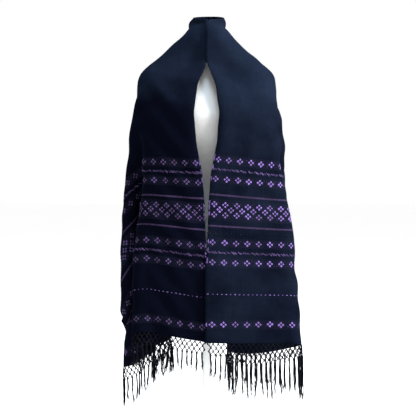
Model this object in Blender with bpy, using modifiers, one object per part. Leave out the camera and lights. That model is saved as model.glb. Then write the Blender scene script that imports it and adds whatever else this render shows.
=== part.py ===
"""A woven shawl (rebozo) hanging on a limbless dress form.

The shawl is one long rectangle of cloth. Its middle stands round the neck of the form, its two ends
hang down the front, and the cloth that is left over beside each shoulder falls in upright folds.
Every stretch of it is a thin wall through level rings of named points: edge, chest, ridge, tuck,
swell, gather, rear, blade and spine, counted from the front opening to the middle of the back.

Metres, +Z up, the front faces -Y. The origin is the middle of the foot plate's underside.
"""

import math
from typing import NamedTuple

import bmesh
import bpy
from mathutils import Vector

# ---- driving sizes -------------------------------------------------------------------------------
CLOTH_WALL = 0.0020
SEAM_GAP = 0.0009
COLLAR_TOP = 1.452
SEAM_HEIGHT = 1.262          # the wrap round the neck ends here and the hanging stretches begin
HEM_HEIGHT = 0.516           # of the front ends, beside the opening
BACK_HEM_HEIGHT = 0.815      # of the long edge across the back
NET_DEPTH = 0.036            # the knotted lattice under each hem
TASSEL_DEPTH = 0.068         # the loose ends under the lattice
FRINGE_WALL = 0.0026

FOOT_RADIUS = 0.160
FOOT_THICKNESS = 0.008
FOOT_BEVEL = 0.004
HUB_RADIUS = 0.022
HUB_HEIGHT = 0.030
POLE_RADIUS = 0.0125
SOCKET_RADIUS = 0.034
SOCKET_NECK_RADIUS = 0.018
SOCKET_HEIGHT = 0.045
SOCKET_FLANGE = 0.006
TORSO_BOTTOM = 0.655
FIT_GAP = 0.0003
HEM_GAP = 0.0007             # between a hem and the knots under it

CHEST_SHARE = 0.52           # how far the chest point lies from the edge towards the ridge
BLADE_SHARE = (0.52, 0.12)   # how far the blade point lies from the spine towards the rear, in x and y
COLUMN_WIDTH = 0.06          # about how much cloth lies between two named points
CORNER_DROOP = 1.4           # over 1, the hem falls faster towards its corner
PANEL_STEPS = 9              # faces across a front panel, and down it
PANEL_ROWS = 16
HEM_STEPS = 16               # faces along a side fall's hem, along its long edge, and down it
LONG_EDGE_STEPS = 6
FALL_ROWS = 16
CURTAIN_STEPS = 9            # faces across half the back, and down it
CURTAIN_ROWS = 10
NECK_STEPS = 26              # faces half way round the neck, up the collar, and down its slope
COLLAR_ROWS = 3
SLOPE_ROWS = 7
COLUMNS = {"edge": 0, "chest": 1, "ridge": 2, "tuck": 3, "swell": 4, "gather": 5, "rear": 6,
           "blade": 7, "spine": 8}


class Oval(NamedTuple):
    """A level ring round the neck and shoulders, where the cloth has no folds."""

    height: float
    half_width: float
    front: float
    back: float
    opening: float


class Folds(NamedTuple):
    """A level ring below the shoulder, on one side: x counts outwards from the middle."""

    height: float
    ridge: tuple
    tuck: tuple
    swell: tuple
    gather: tuple
    rear: tuple


class Middle(NamedTuple):
    """What both sides share at one height: the front opening, its depth, and the back's depth."""

    height: float
    opening: float
    front: float
    spine: float


class Girth(NamedTuple):
    """A level ring of the dress form."""

    height: float
    half_width: float
    front: float
    back: float


OVALS = (
    Oval(COLLAR_TOP, 0.047, 0.060, 0.060, 0.0024),
    Oval(1.412, 0.061, 0.066, 0.070, 0.0024),
    Oval(1.394, 0.079, 0.070, 0.078, 0.0026),
    Oval(1.340, 0.141, 0.084, 0.094, 0.0030),
    Oval(1.290, 0.194, 0.110, 0.102, 0.0120),
)
# the angle of each point on an oval, in degrees from the front
OVAL_ANGLES = {"chest": 34, "ridge": 62, "tuck": 76, "swell": 90, "gather": 104, "rear": 118,
               "blade": 150, "spine": 180}

MIDDLES = (
    Middle(1.200, 0.034, 0.146, 0.108),
    Middle(1.080, 0.028, 0.150, 0.108),
    Middle(0.950, 0.009, 0.145, 0.100),
    Middle(BACK_HEM_HEIGHT, 0.0045, 0.141, 0.120),
    Middle(0.660, 0.0030, 0.138, 0.130),
    Middle(0.400, 0.0030, 0.130, 0.130),
)
LEFT_FOLDS = (
    Folds(1.200, (0.192, -0.076), (0.189, -0.038), (0.208, -0.004), (0.192, 0.036), (0.197, 0.072)),
    Folds(1.080, (0.193, -0.088), (0.172, -0.040), (0.216, -0.014), (0.178, 0.030), (0.208, 0.094)),
    Folds(0.950, (0.195, -0.098), (0.162, -0.044), (0.229, -0.024), (0.164, 0.028), (0.222, 0.112)),
    Folds(BACK_HEM_HEIGHT, (0.197, -0.102), (0.172, -0.040), (0.236, -0.020), (0.178, 0.040),
          (0.238, 0.132)),
    Folds(0.660, (0.204, -0.106), (0.166, -0.046), (0.237, -0.006), (0.186, 0.048), (0.200, 0.104)),
    Folds(0.400, (0.214, -0.104), (0.166, -0.044), (0.234, 0.010), (0.178, 0.060), (0.140, 0.050)),
)
RIGHT_FOLDS = (
    Folds(1.200, (0.200, -0.078), (0.193, -0.041), (0.208, -0.006), (0.192, 0.032), (0.199, 0.072)),
    Folds(1.080, (0.214, -0.090), (0.196, -0.050), (0.214, -0.020), (0.176, 0.028), (0.212, 0.096)),
    Folds(0.950, (0.228, -0.098), (0.212, -0.048), (0.224, -0.012), (0.166, 0.026), (0.222, 0.114)),
    Folds(BACK_HEM_HEIGHT, (0.241, -0.106), (0.226, -0.052), (0.232, -0.014), (0.176, 0.034),
          (0.236, 0.132)),
    Folds(0.660, (0.262, -0.112), (0.256, -0.056), (0.232, -0.012), (0.188, 0.030), (0.190, 0.090)),
    Folds(0.400, (0.288, -0.112), (0.278, -0.050), (0.226, -0.010), (0.166, 0.006), (0.110, -0.030)),
)

# the lower edge of a side fall: where along it the hem's corner hangs, and how low, then how the long
# edge of the cloth climbs from that corner to the back
CORNER_AT = {"left": 5.15, "right": 5.45}
CORNER_HEIGHT = {"left": 0.420, "right": 0.455}

GIRTHS = (
    Girth(TORSO_BOTTOM, 0.118, 0.070, 0.080),
    Girth(0.664, 0.132, 0.080, 0.090),
    Girth(0.700, 0.144, 0.090, 0.098),
    Girth(0.770, 0.150, 0.096, 0.104),
    Girth(0.850, 0.142, 0.092, 0.096),
    Girth(0.960, 0.120, 0.084, 0.078),
    Girth(1.050, 0.134, 0.100, 0.082),
    Girth(1.110, 0.148, 0.122, 0.090),
    Girth(1.160, 0.158, 0.132, 0.094),
    Girth(1.215, 0.175, 0.116, 0.094),
    Girth(1.250, 0.186, 0.096, 0.090),
    Girth(1.272, 0.190, 0.082, 0.082),
    Girth(1.288, 0.180, 0.072, 0.074),
    Girth(1.310, 0.124, 0.063, 0.067),
    Girth(1.336, 0.072, 0.055, 0.060),
    Girth(1.362, 0.054, 0.050, 0.054),
    Girth(1.426, 0.042, 0.046, 0.050),
)
GIRTH_ROUNDNESS = 2.3
NECK_CAP_TOP = 1.438
NECK_CAP_RADIUS = 0.040
NECK_CAP_BEVEL = 0.004


# ---- small helpers -------------------------------------------------------------------------------
def through(keys, values, at):
    """The value at `at` of a smooth curve through (key, value) rows; the keys rise."""
    at = min(max(at, keys[0]), keys[-1])
    i = max(k for k in range(len(keys) - 1) if keys[k] <= at)

    def slope(k):
        low, high = max(k - 1, 0), min(k + 1, len(keys) - 1)
        return (values[high] - values[low]) / (keys[high] - keys[low])

    span = keys[i + 1] - keys[i]
    t = (at - keys[i]) / span
    start, end = slope(i) * span, slope(i + 1) * span
    rise = values[i + 1] - values[i]
    return values[i] + t * start + t * t * (3 * rise - 2 * start - end) + t**3 * (start + end - 2 * rise)


def material(name, colour, roughness, metallic=0.0):
    made = bpy.data.materials.new(name)
    made.use_nodes = True
    shader = made.node_tree.nodes["Principled BSDF"]
    shader.inputs["Base Color"].default_value = (*colour, 1.0)
    shader.inputs["Roughness"].default_value = roughness
    shader.inputs["Metallic"].default_value = metallic
    return made


def new_object(name, mesh, finish, collection):
    made = bpy.data.objects.new(name, mesh)
    mesh.materials.append(finish)
    collection.objects.link(made)
    return made


# ---- the cloth's form ----------------------------------------------------------------------------
def oval_ring(row):
    """The nine named points of one side of an oval ring, x outwards."""
    opening_angle = math.asin(row.opening / row.half_width)
    angles = [opening_angle, *(math.radians(OVAL_ANGLES[name]) for name in list(COLUMNS)[1:])]
    return [
        Vector((row.half_width * math.sin(a), -(row.front if a < math.pi / 2 else row.back) * math.cos(a)))
        for a in angles
    ]


def folded_ring(middle, folds):
    """The nine named points of one side of a ring below the shoulder, x outwards."""
    edge = Vector((middle.opening, -middle.front))
    ridge, rear = Vector(folds.ridge), Vector(folds.rear)
    spine = Vector((0.0, middle.spine))
    chest = Vector((
        edge.x + (ridge.x - edge.x) * CHEST_SHARE,
        edge.y + (ridge.y - edge.y) * CHEST_SHARE**2,
    ))
    blade = spine + (rear - spine) * Vector(BLADE_SHARE)
    return [edge, chest, ridge, Vector(folds.tuck), Vector(folds.swell), Vector(folds.gather), rear,
            blade, spine]


class Side:
    """One half of the shawl, left (-X) or right (+X) of the opening as seen from the front."""

    def __init__(self, name, sign, folds):
        self.name = name
        self.sign = sign
        rings = [(row.height, oval_ring(row)) for row in OVALS]
        rings += [(m.height, folded_ring(m, f)) for m, f in zip(MIDDLES, folds)]
        rings.sort(key=lambda pair: pair[0])
        self.heights = [height for height, _ in rings]
        self.rings = [ring for _, ring in rings]

    def point(self, column, height):
        """The point of the cloth's middle surface at a place along the ring, 0 to 8, and a height."""
        named = [
            Vector((
                through(self.heights, [ring[k].x for ring in self.rings], height),
                through(self.heights, [ring[k].y for ring in self.rings], height),
            ))
            for k in range(len(COLUMNS))
        ]
        places = list(range(len(COLUMNS)))
        x = through(places, [p.x for p in named], column)
        y = through(places, [p.y for p in named], column)
        return Vector((self.sign * x, y, height))

    def fall_bottom(self, column):
        """The height of the side fall's lower edge: the hem down to its corner, then the long edge."""
        corner = CORNER_AT[self.name]
        start = COLUMNS["ridge"]
        if column <= corner:
            share = (column - start) / (corner - start)
            return HEM_HEIGHT + (CORNER_HEIGHT[self.name] - HEM_HEIGHT) * share**CORNER_DROOP
        share = (column - corner) / (COLUMNS["rear"] - corner)
        return CORNER_HEIGHT[self.name] + (BACK_HEM_HEIGHT - CORNER_HEIGHT[self.name]) * share


def spread(start, end, count):
    """count + 1 evenly spaced values from start to end."""
    return [start + (end - start) * i / count for i in range(count + 1)]


def wall(name, grid, thickness, finish, collection):
    """A closed wall of that thickness about an open grid of points, rows of equal length."""
    mesh = bpy.data.meshes.new(name)
    shape = bmesh.new()
    rows = [[shape.verts.new(p) for p in row] for row in grid]
    for upper, lower in zip(rows, rows[1:]):
        for a, b, c, d in zip(upper, upper[1:], lower[1:], lower):
            shape.faces.new((a, b, c, d))
    shape.to_mesh(mesh)
    shape.free()
    mesh.shade_smooth()
    made = new_object(name, mesh, finish, collection)
    solid = made.modifiers.new("wall", "SOLIDIFY")
    solid.thickness = thickness
    solid.offset = 0.0
    solid.use_even_offset = False
    return made


def inset(column, towards):
    """A column moved from a seam towards another, by the seam's gap."""
    return column + math.copysign(SEAM_GAP / COLUMN_WIDTH, towards - column)


def neck_wrap(sides, finish, collection):
    """The stretch that stands round the neck and slopes out to both shoulders."""
    left, right = sides
    collar_foot = OVALS[1].height
    heights = spread(COLLAR_TOP, collar_foot, COLLAR_ROWS)
    heights += spread(collar_foot, SEAM_HEIGHT + SEAM_GAP / 2, SLOPE_ROWS)[1:]
    columns = spread(COLUMNS["edge"], COLUMNS["spine"], NECK_STEPS)
    grid = []
    for height in heights:
        one = [left.point(c, height) for c in columns]
        other = [right.point(c, height) for c in reversed(columns[:-1])]
        grid.append(one + other)
    wall("neck_wrap", grid, CLOTH_WALL, finish, collection)


def panel_columns():
    """The columns of a front panel, and of the fringe under it."""
    return spread(COLUMNS["edge"], inset(COLUMNS["ridge"], COLUMNS["edge"]), PANEL_STEPS)


def hem_columns(side):
    """The columns of a side fall as far as the hem's corner, and of the fringe under them."""
    return spread(inset(COLUMNS["ridge"], COLUMNS["rear"]), CORNER_AT[side.name], HEM_STEPS)


def front_panel(side, finish, collection):
    """An end of the shawl, from the shoulder to the hem, between the opening and the front ridge."""
    grid = [
        [side.point(c, height) for c in panel_columns()]
        for height in spread(SEAM_HEIGHT - SEAM_GAP / 2, HEM_HEIGHT, PANEL_ROWS)
    ]
    wall(f"front_{side.name}", grid, CLOTH_WALL, finish, collection)


def side_fall(side, finish, collection):
    """The folds beside the body, with the hem's corner and the long edge that climbs to the back."""
    last = inset(COLUMNS["rear"], COLUMNS["ridge"])
    columns = hem_columns(side) + spread(CORNER_AT[side.name], last, LONG_EDGE_STEPS)[1:]
    top = SEAM_HEIGHT - SEAM_GAP / 2
    grid = [
        [side.point(c, top + (side.fall_bottom(c) - top) * share) for c in columns]
        for share in spread(0.0, 1.0, FALL_ROWS)
    ]
    wall(f"fall_{side.name}", grid, CLOTH_WALL, finish, collection)


def back_curtain(sides, finish, collection):
    """The stretch that hangs across the back, from the shoulders to the shawl's long edge."""
    left, right = sides
    columns = spread(inset(COLUMNS["rear"], COLUMNS["spine"]), COLUMNS["spine"], CURTAIN_STEPS)
    grid = []
    for height in spread(SEAM_HEIGHT - SEAM_GAP / 2, BACK_HEM_HEIGHT, CURTAIN_ROWS):
        one = [left.point(c, height) for c in columns]
        other = [right.point(c, height) for c in reversed(columns[:-1])]
        grid.append(one + other)
    wall("back_curtain", grid, CLOTH_WALL, finish, collection)


def fringe_band(side, name, columns, top_drop, depth, finish, collection):
    """A plain wall under the hem that takes up the reach of the knots or of the loose ends."""
    def hem(column):
        return HEM_HEIGHT if column <= COLUMNS["ridge"] else side.fall_bottom(column)

    grid = []
    for drop in (top_drop + HEM_GAP, top_drop + depth):
        row = []
        for c in columns:
            on_hem = side.point(c, hem(c))
            row.append(Vector((on_hem.x, on_hem.y, on_hem.z - drop)))
        grid.append(row)
    wall(name, grid, FRINGE_WALL, finish, collection)


def fringes(side, finish, collection):
    """The knotted lattice and the tassels of one end: in front, and on round the side fall."""
    for place, columns in (("front", panel_columns()), ("fall", hem_columns(side))):
        fringe_band(side, f"lattice_{place}_{side.name}", columns, 0.0, NET_DEPTH, finish, collection)
        fringe_band(side, f"tassels_{place}_{side.name}", columns, NET_DEPTH, TASSEL_DEPTH, finish,
                    collection)


# ---- the dress form ------------------------------------------------------------------------------
def girth_ring(row, count=40):
    """The points of one level ring of the form, a rounded box of its own widths and depths."""
    power = 2 / GIRTH_ROUNDNESS
    ring = []
    for i in range(count):
        angle = 2 * math.pi * i / count
        c, s = math.cos(angle), math.sin(angle)
        depth = row.back if s > 0 else row.front
        ring.append(Vector((
            row.half_width * math.copysign(abs(c) ** power, c),
            depth * math.copysign(abs(s) ** power, s),
            row.height,
        )))
    return ring


def torso(finish, collection):
    """The smooth closed body of the form, with no head, arms or legs."""
    mesh = bpy.data.meshes.new("form_torso")
    shape = bmesh.new()
    rings = [[shape.verts.new(p) for p in girth_ring(row)] for row in GIRTHS]
    for lower, upper in zip(rings, rings[1:]):
        for i in range(len(lower)):
            j = (i + 1) % len(lower)
            shape.faces.new((lower[i], lower[j], upper[j], upper[i]))
    shape.faces.new(list(reversed(rings[0])))
    shape.faces.new(rings[-1])
    shape.to_mesh(mesh)
    shape.free()
    mesh.shade_smooth()
    new_object("form_torso", mesh, finish, collection)


def turned(name, profile, finish, collection, steps=40):
    """A turned solid from (radius, height) points that run down its outer side."""
    mesh = bpy.data.meshes.new(name)
    points = [(r, 0.0, z) for r, z in profile]
    mesh.from_pydata(points, [(i, i + 1) for i in range(len(points) - 1)], [])
    made = new_object(name, mesh, finish, collection)
    screw = made.modifiers.new("turn", "SCREW")
    screw.steps = screw.render_steps = steps
    screw.use_merge_vertices = True
    screw.merge_threshold = 0.0001
    mesh.shade_smooth()
    return made


def stand(finish, collection):
    """The neck cap, the pole with its socket, and the round foot plate."""
    cap_foot = GIRTHS[-1].height + FIT_GAP
    turned("neck_cap", [
        (0.0, NECK_CAP_TOP),
        (NECK_CAP_RADIUS - NECK_CAP_BEVEL, NECK_CAP_TOP),
        (NECK_CAP_RADIUS, NECK_CAP_TOP - NECK_CAP_BEVEL),
        (NECK_CAP_RADIUS, cap_foot),
        (0.0, cap_foot),
    ], finish, collection)
    socket_top = TORSO_BOTTOM - FIT_GAP
    socket_foot = socket_top - SOCKET_HEIGHT
    turned("pole_socket", [
        (0.0, socket_top),
        (SOCKET_RADIUS, socket_top),
        (SOCKET_RADIUS, socket_top - SOCKET_FLANGE),
        (SOCKET_NECK_RADIUS, socket_top - 2 * SOCKET_FLANGE),
        (SOCKET_NECK_RADIUS, socket_foot),
        (0.0, socket_foot),
    ], finish, collection)
    hub_top = FOOT_THICKNESS + HUB_HEIGHT
    turned("pole", [
        (0.0, socket_foot - FIT_GAP),
        (POLE_RADIUS, socket_foot - FIT_GAP),
        (POLE_RADIUS, hub_top + FIT_GAP),
        (0.0, hub_top + FIT_GAP),
    ], finish, collection)
    turned("foot_plate", [
        (0.0, hub_top),
        (HUB_RADIUS, hub_top),
        (HUB_RADIUS, FOOT_THICKNESS),
        (FOOT_RADIUS - FOOT_BEVEL, FOOT_THICKNESS),
        (FOOT_RADIUS, FOOT_THICKNESS - FOOT_BEVEL),
        (FOOT_RADIUS, 0.0),
        (0.0, 0.0),
    ], finish, collection)


def main():
    for old in list(bpy.data.objects):
        bpy.data.objects.remove(old)
    collection = bpy.data.collections.new("rebozo_on_form")
    bpy.context.scene.collection.children.link(collection)

    cotton = material("black_cotton", (0.012, 0.016, 0.026), 0.85)
    cord = material("black_fringe", (0.010, 0.013, 0.020), 0.80)
    jersey = material("white_jersey", (0.78, 0.77, 0.74), 0.80)
    enamel = material("white_enamel", (0.85, 0.85, 0.85), 0.35)

    left = Side("left", -1.0, LEFT_FOLDS)
    right = Side("right", 1.0, RIGHT_FOLDS)
    neck_wrap((left, right), cotton, collection)
    back_curtain((left, right), cotton, collection)
    for side in (left, right):
        front_panel(side, cotton, collection)
        side_fall(side, cotton, collection)
        fringes(side, cord, collection)
    torso(jersey, collection)
    stand(enamel, collection)


main()
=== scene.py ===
"""Looks of a rebozo, a long shawl with knotted fringes, hanging on a limbless dress form.

The shawl is one uncut rectangle of cloth. It starts folded over both shoulders without any stretch,
settles on the form as rigidly measured cloth does, and then gets its brocade, yarns, knots and tassels.
Metres, +Z up, the front faces -Y. On the cloth, u runs across its width from the inner edge, which is
the one that stands round the neck, and v runs along its length from the middle of the back.
"""

import logging
import math
from dataclasses import dataclass, field
from enum import Enum
from typing import NamedTuple, Sequence

import bmesh
import bpy
import numpy as np
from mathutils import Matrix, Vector

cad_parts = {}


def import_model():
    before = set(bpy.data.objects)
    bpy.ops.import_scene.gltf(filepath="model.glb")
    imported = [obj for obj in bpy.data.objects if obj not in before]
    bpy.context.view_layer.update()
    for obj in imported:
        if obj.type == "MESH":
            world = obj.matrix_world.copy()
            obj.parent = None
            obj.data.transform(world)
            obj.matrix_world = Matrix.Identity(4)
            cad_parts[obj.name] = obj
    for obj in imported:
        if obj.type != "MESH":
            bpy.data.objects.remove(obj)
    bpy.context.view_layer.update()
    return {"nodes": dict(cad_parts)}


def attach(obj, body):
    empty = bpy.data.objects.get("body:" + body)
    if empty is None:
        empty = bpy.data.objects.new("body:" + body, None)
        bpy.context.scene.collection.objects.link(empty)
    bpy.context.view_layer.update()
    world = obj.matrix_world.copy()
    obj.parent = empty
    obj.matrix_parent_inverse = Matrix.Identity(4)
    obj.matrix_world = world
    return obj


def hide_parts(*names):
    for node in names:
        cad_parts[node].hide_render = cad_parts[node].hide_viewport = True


LOG = logging.getLogger("rebozo")
BODY = "root"
CELLS = 1024  # the most cells each way when close points are looked up


# ---- the cut and how it hangs --------------------------------------------------------------------
@dataclass(frozen=True)
class Cut:
    """The flat cloth, one rectangle from selvedge to selvedge, without its fringe."""

    width: float = 0.66
    half_length: float = 1.024
    pitch: float = 0.0125
    wall: float = 0.0011
    slips: tuple = (-0.012, 0.001)

    def across(self) -> np.ndarray:
        """Places across the width, from the inner selvedge."""
        return np.linspace(0.0, self.width, round(self.width / self.pitch) + 1)

    def along(self) -> np.ndarray:
        """Places along the length, from the left end to the right end."""
        count = 2 * round(self.half_length / self.pitch) + 1
        return np.linspace(-self.half_length, self.half_length, count)

    def slip(self, side: float) -> float:
        """How much further from the hem than planned the pattern begins, at the left (-1) or the right end."""
        return self.slips[side > 0]


class EdgeStop(NamedTuple):
    """Where the inner selvedge passes on its way down the front."""

    height: float
    aside: float
    forward: float


class Sides(NamedTuple):
    """A measure that differs between the left and the right end of the shawl, at one place."""

    at: float
    left: float
    right: float


EDGE_PATH = (
    EdgeStop(0.40, -0.004, 0.125),
    EdgeStop(0.72, -0.004, 0.135),
    EdgeStop(0.78, 0.001, 0.137),
    EdgeStop(0.92, 0.006, 0.140),
    EdgeStop(1.00, 0.012, 0.143),
    EdgeStop(1.08, 0.028, 0.148),
    EdgeStop(1.17, 0.036, 0.150),
    EdgeStop(1.25, 0.025, 0.132),
    EdgeStop(1.33, -0.003, 0.082),
    EdgeStop(1.41, -0.004, 0.069),
    EdgeStop(1.45, -0.012, 0.063),
)
# at a height: how far out the hanging cloth reaches
OUTLINE = (
    Sides(0.30, 0.250, 0.292),
    Sides(0.52, 0.251, 0.288),
    Sides(0.70, 0.252, 0.267),
    Sides(0.85, 0.254, 0.250),
    Sides(1.00, 0.240, 0.236),
    Sides(1.20, 0.214, 0.215),
    Sides(1.27, 0.202, 0.206),
    Sides(1.30, 0.196, 0.199),
)
# at a height: how wide the cloth stands between the neck and the tips of the shoulders
YOKE = ((1.200, 0.186), (1.250, 0.197), (1.285, 0.194), (1.308, 0.170), (1.331, 0.143), (1.354, 0.118),
        (1.377, 0.093), (1.400, 0.070), (1.418, 0.055), (1.430, 0.046))
# at a distance from the middle of the back: how much of the width lies in front, before the fold
FRONT_SHARE = (
    Sides(0.25, 0.195, 0.200),
    Sides(0.50, 0.200, 0.235),
    Sides(0.76, 0.215, 0.257),
    Sides(1.05, 0.230, 0.285),
)
# at a height: how far out the front fold hangs
FRONT_FOLD = (
    Sides(0.45, 0.214, 0.285),
    Sides(0.75, 0.200, 0.257),
    Sides(1.00, 0.195, 0.231),
    Sides(1.27, 0.192, 0.202),
)
# at a distance from the middle of the back: how much higher the fold hangs than the inner selvedge
FOLD_RISE = (
    Sides(0.30, 0.000, -0.012),
    Sides(0.50, 0.004, -0.030),
    Sides(0.76, 0.026, -0.010),
    Sides(1.03, 0.042, 0.000),
)
# at a height: how far forward the front fold lies, and how far forward the folds behind it may come
FOLD_DEPTH = ((0.45, 0.105, 0.100), (0.75, 0.100, 0.095), (1.00, 0.095, 0.090), (1.15, 0.075, 0.070),
              (1.27, 0.030, 0.020))


class TailStop(NamedTuple):
    """A place on the way of a hem behind its front fold, and how far it has dropped below the fold."""

    share: float
    aside: float
    forward: float
    drop: float


TAILS = {
    -1.0: (
        TailStop(0.00, 0.214, 0.105, 0.000),
        TailStop(0.30, 0.130, 0.030, 0.010),
        TailStop(0.55, 0.145, -0.015, 0.045),
        TailStop(0.80, 0.215, -0.020, 0.110),
        TailStop(1.00, 0.252, -0.035, 0.160),
    ),
    1.0: (
        TailStop(0.00, 0.285, 0.100, 0.000),
        TailStop(0.22, 0.215, 0.050, 0.045),
        TailStop(0.45, 0.130, 0.012, 0.090),
        TailStop(0.68, 0.050, -0.028, 0.060),
        TailStop(1.00, 0.150, -0.070, 0.020),
    ),
}


@dataclass
class Torso:
    """The level rings of the form that the cloth rests on."""

    heights: np.ndarray
    half_widths: np.ndarray
    fronts: np.ndarray
    backs: np.ndarray
    squareness: float = 2.3
    seed_size: float = 0.03

    @classmethod
    def from_node(cls, node: bpy.types.Object) -> "Torso":
        """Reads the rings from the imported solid.

        Args:
            node: the CAD node of the torso, whose vertices lie on level rings.

        Returns:
            The rings, lowest first.
        """
        points = mesh_points(node.data)
        levels = np.round(points[:, 2], 4)
        heights = np.unique(levels)
        rows = [points[levels == height] for height in heights]
        return cls(
            heights,
            np.array([row[:, 0].max() for row in rows]),
            np.array([-row[:, 1].min() for row in rows]),
            np.array([row[:, 1].max() for row in rows]),
        )

    def with_yoke(self) -> "Torso":
        """The same form, as wide as the cloth that bridges from its neck to its shoulders."""
        yoke = np.array(YOKE)
        heights = np.union1d(self.heights, yoke[:, 0])
        half, front, back = (np.interp(heights, self.heights, sizes)
                             for sizes in (self.half_widths, self.fronts, self.backs))
        return Torso(heights, np.maximum(half, np.interp(heights, *yoke.T, left=0.0, right=0.0)), front, back)

    def clearance(self, points: np.ndarray, grown: float) -> np.ndarray:
        """About how far points are outside the form while it grows to its size.

        Args:
            points: an array of places, one row each.
            grown: 0 for a thin core, 1 for the whole form.

        Returns:
            One distance each, negative inside.
        """
        height = points[:, 2]
        half = np.interp(height, self.heights, self.half_widths)
        front = np.interp(height, self.heights, self.fronts)
        back = np.interp(height, self.heights, self.backs)
        half, front, back = (self.seed_size + (size - self.seed_size) * grown for size in (half, front, back))
        depth = np.where(points[:, 1] < 0, front, back)
        power = self.squareness
        radius = (np.abs(points[:, 0] / half) ** power + np.abs(points[:, 1] / depth) ** power) ** (1 / power)
        return (radius - 1) * np.minimum(half, depth)

    def push_out(self, points: np.ndarray, before: np.ndarray, grown: float, gap: float, grip: float) -> None:
        """Moves points of the cloth out of the form, and lets them drag on it.

        Args:
            points: the cloth's points, changed in place.
            before: where they were before this step.
            grown: how much of its size the form has.
            gap: how far off the form they stay.
            grip: the share of sliding that the form's cover stops.
        """
        near = np.where((points[:, 2] > self.heights[0]) & (points[:, 2] < self.heights[-1]))[0]
        close = self.clearance(points[near], grown)
        hit = close < gap
        touched, close = near[hit], close[hit]
        if not len(touched):
            return
        reach = 1e-4
        place = points[touched]
        slope = np.zeros_like(place)
        for axis in range(3):
            step = np.zeros(3)
            step[axis] = reach
            slope[:, axis] = self.clearance(place + step, grown) - self.clearance(place - step, grown)
        slope /= 2 * reach
        steepness = np.linalg.norm(slope, axis=1, keepdims=True) + 1e-9
        out = slope / steepness
        place = place + out * np.minimum((gap - close)[:, None] / steepness, 0.01)
        moved = place - before[touched]
        sliding = moved - out * (moved * out).sum(1, keepdims=True)
        points[touched] = place - sliding * grip


def sided(table: Sequence[Sides], at: np.ndarray, side: np.ndarray) -> np.ndarray:
    """Reads a table of sides.

    Args:
        table: rows of at, left and right.
        at: where to read it.
        side: below 0 for the left end of the shawl.

    Returns:
        The table's value at each place.
    """
    places = [row.at for row in table]
    left = np.interp(at, places, [row.left for row in table])
    right = np.interp(at, places, [row.right for row in table])
    return np.where(side < 0, left, right)


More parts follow.
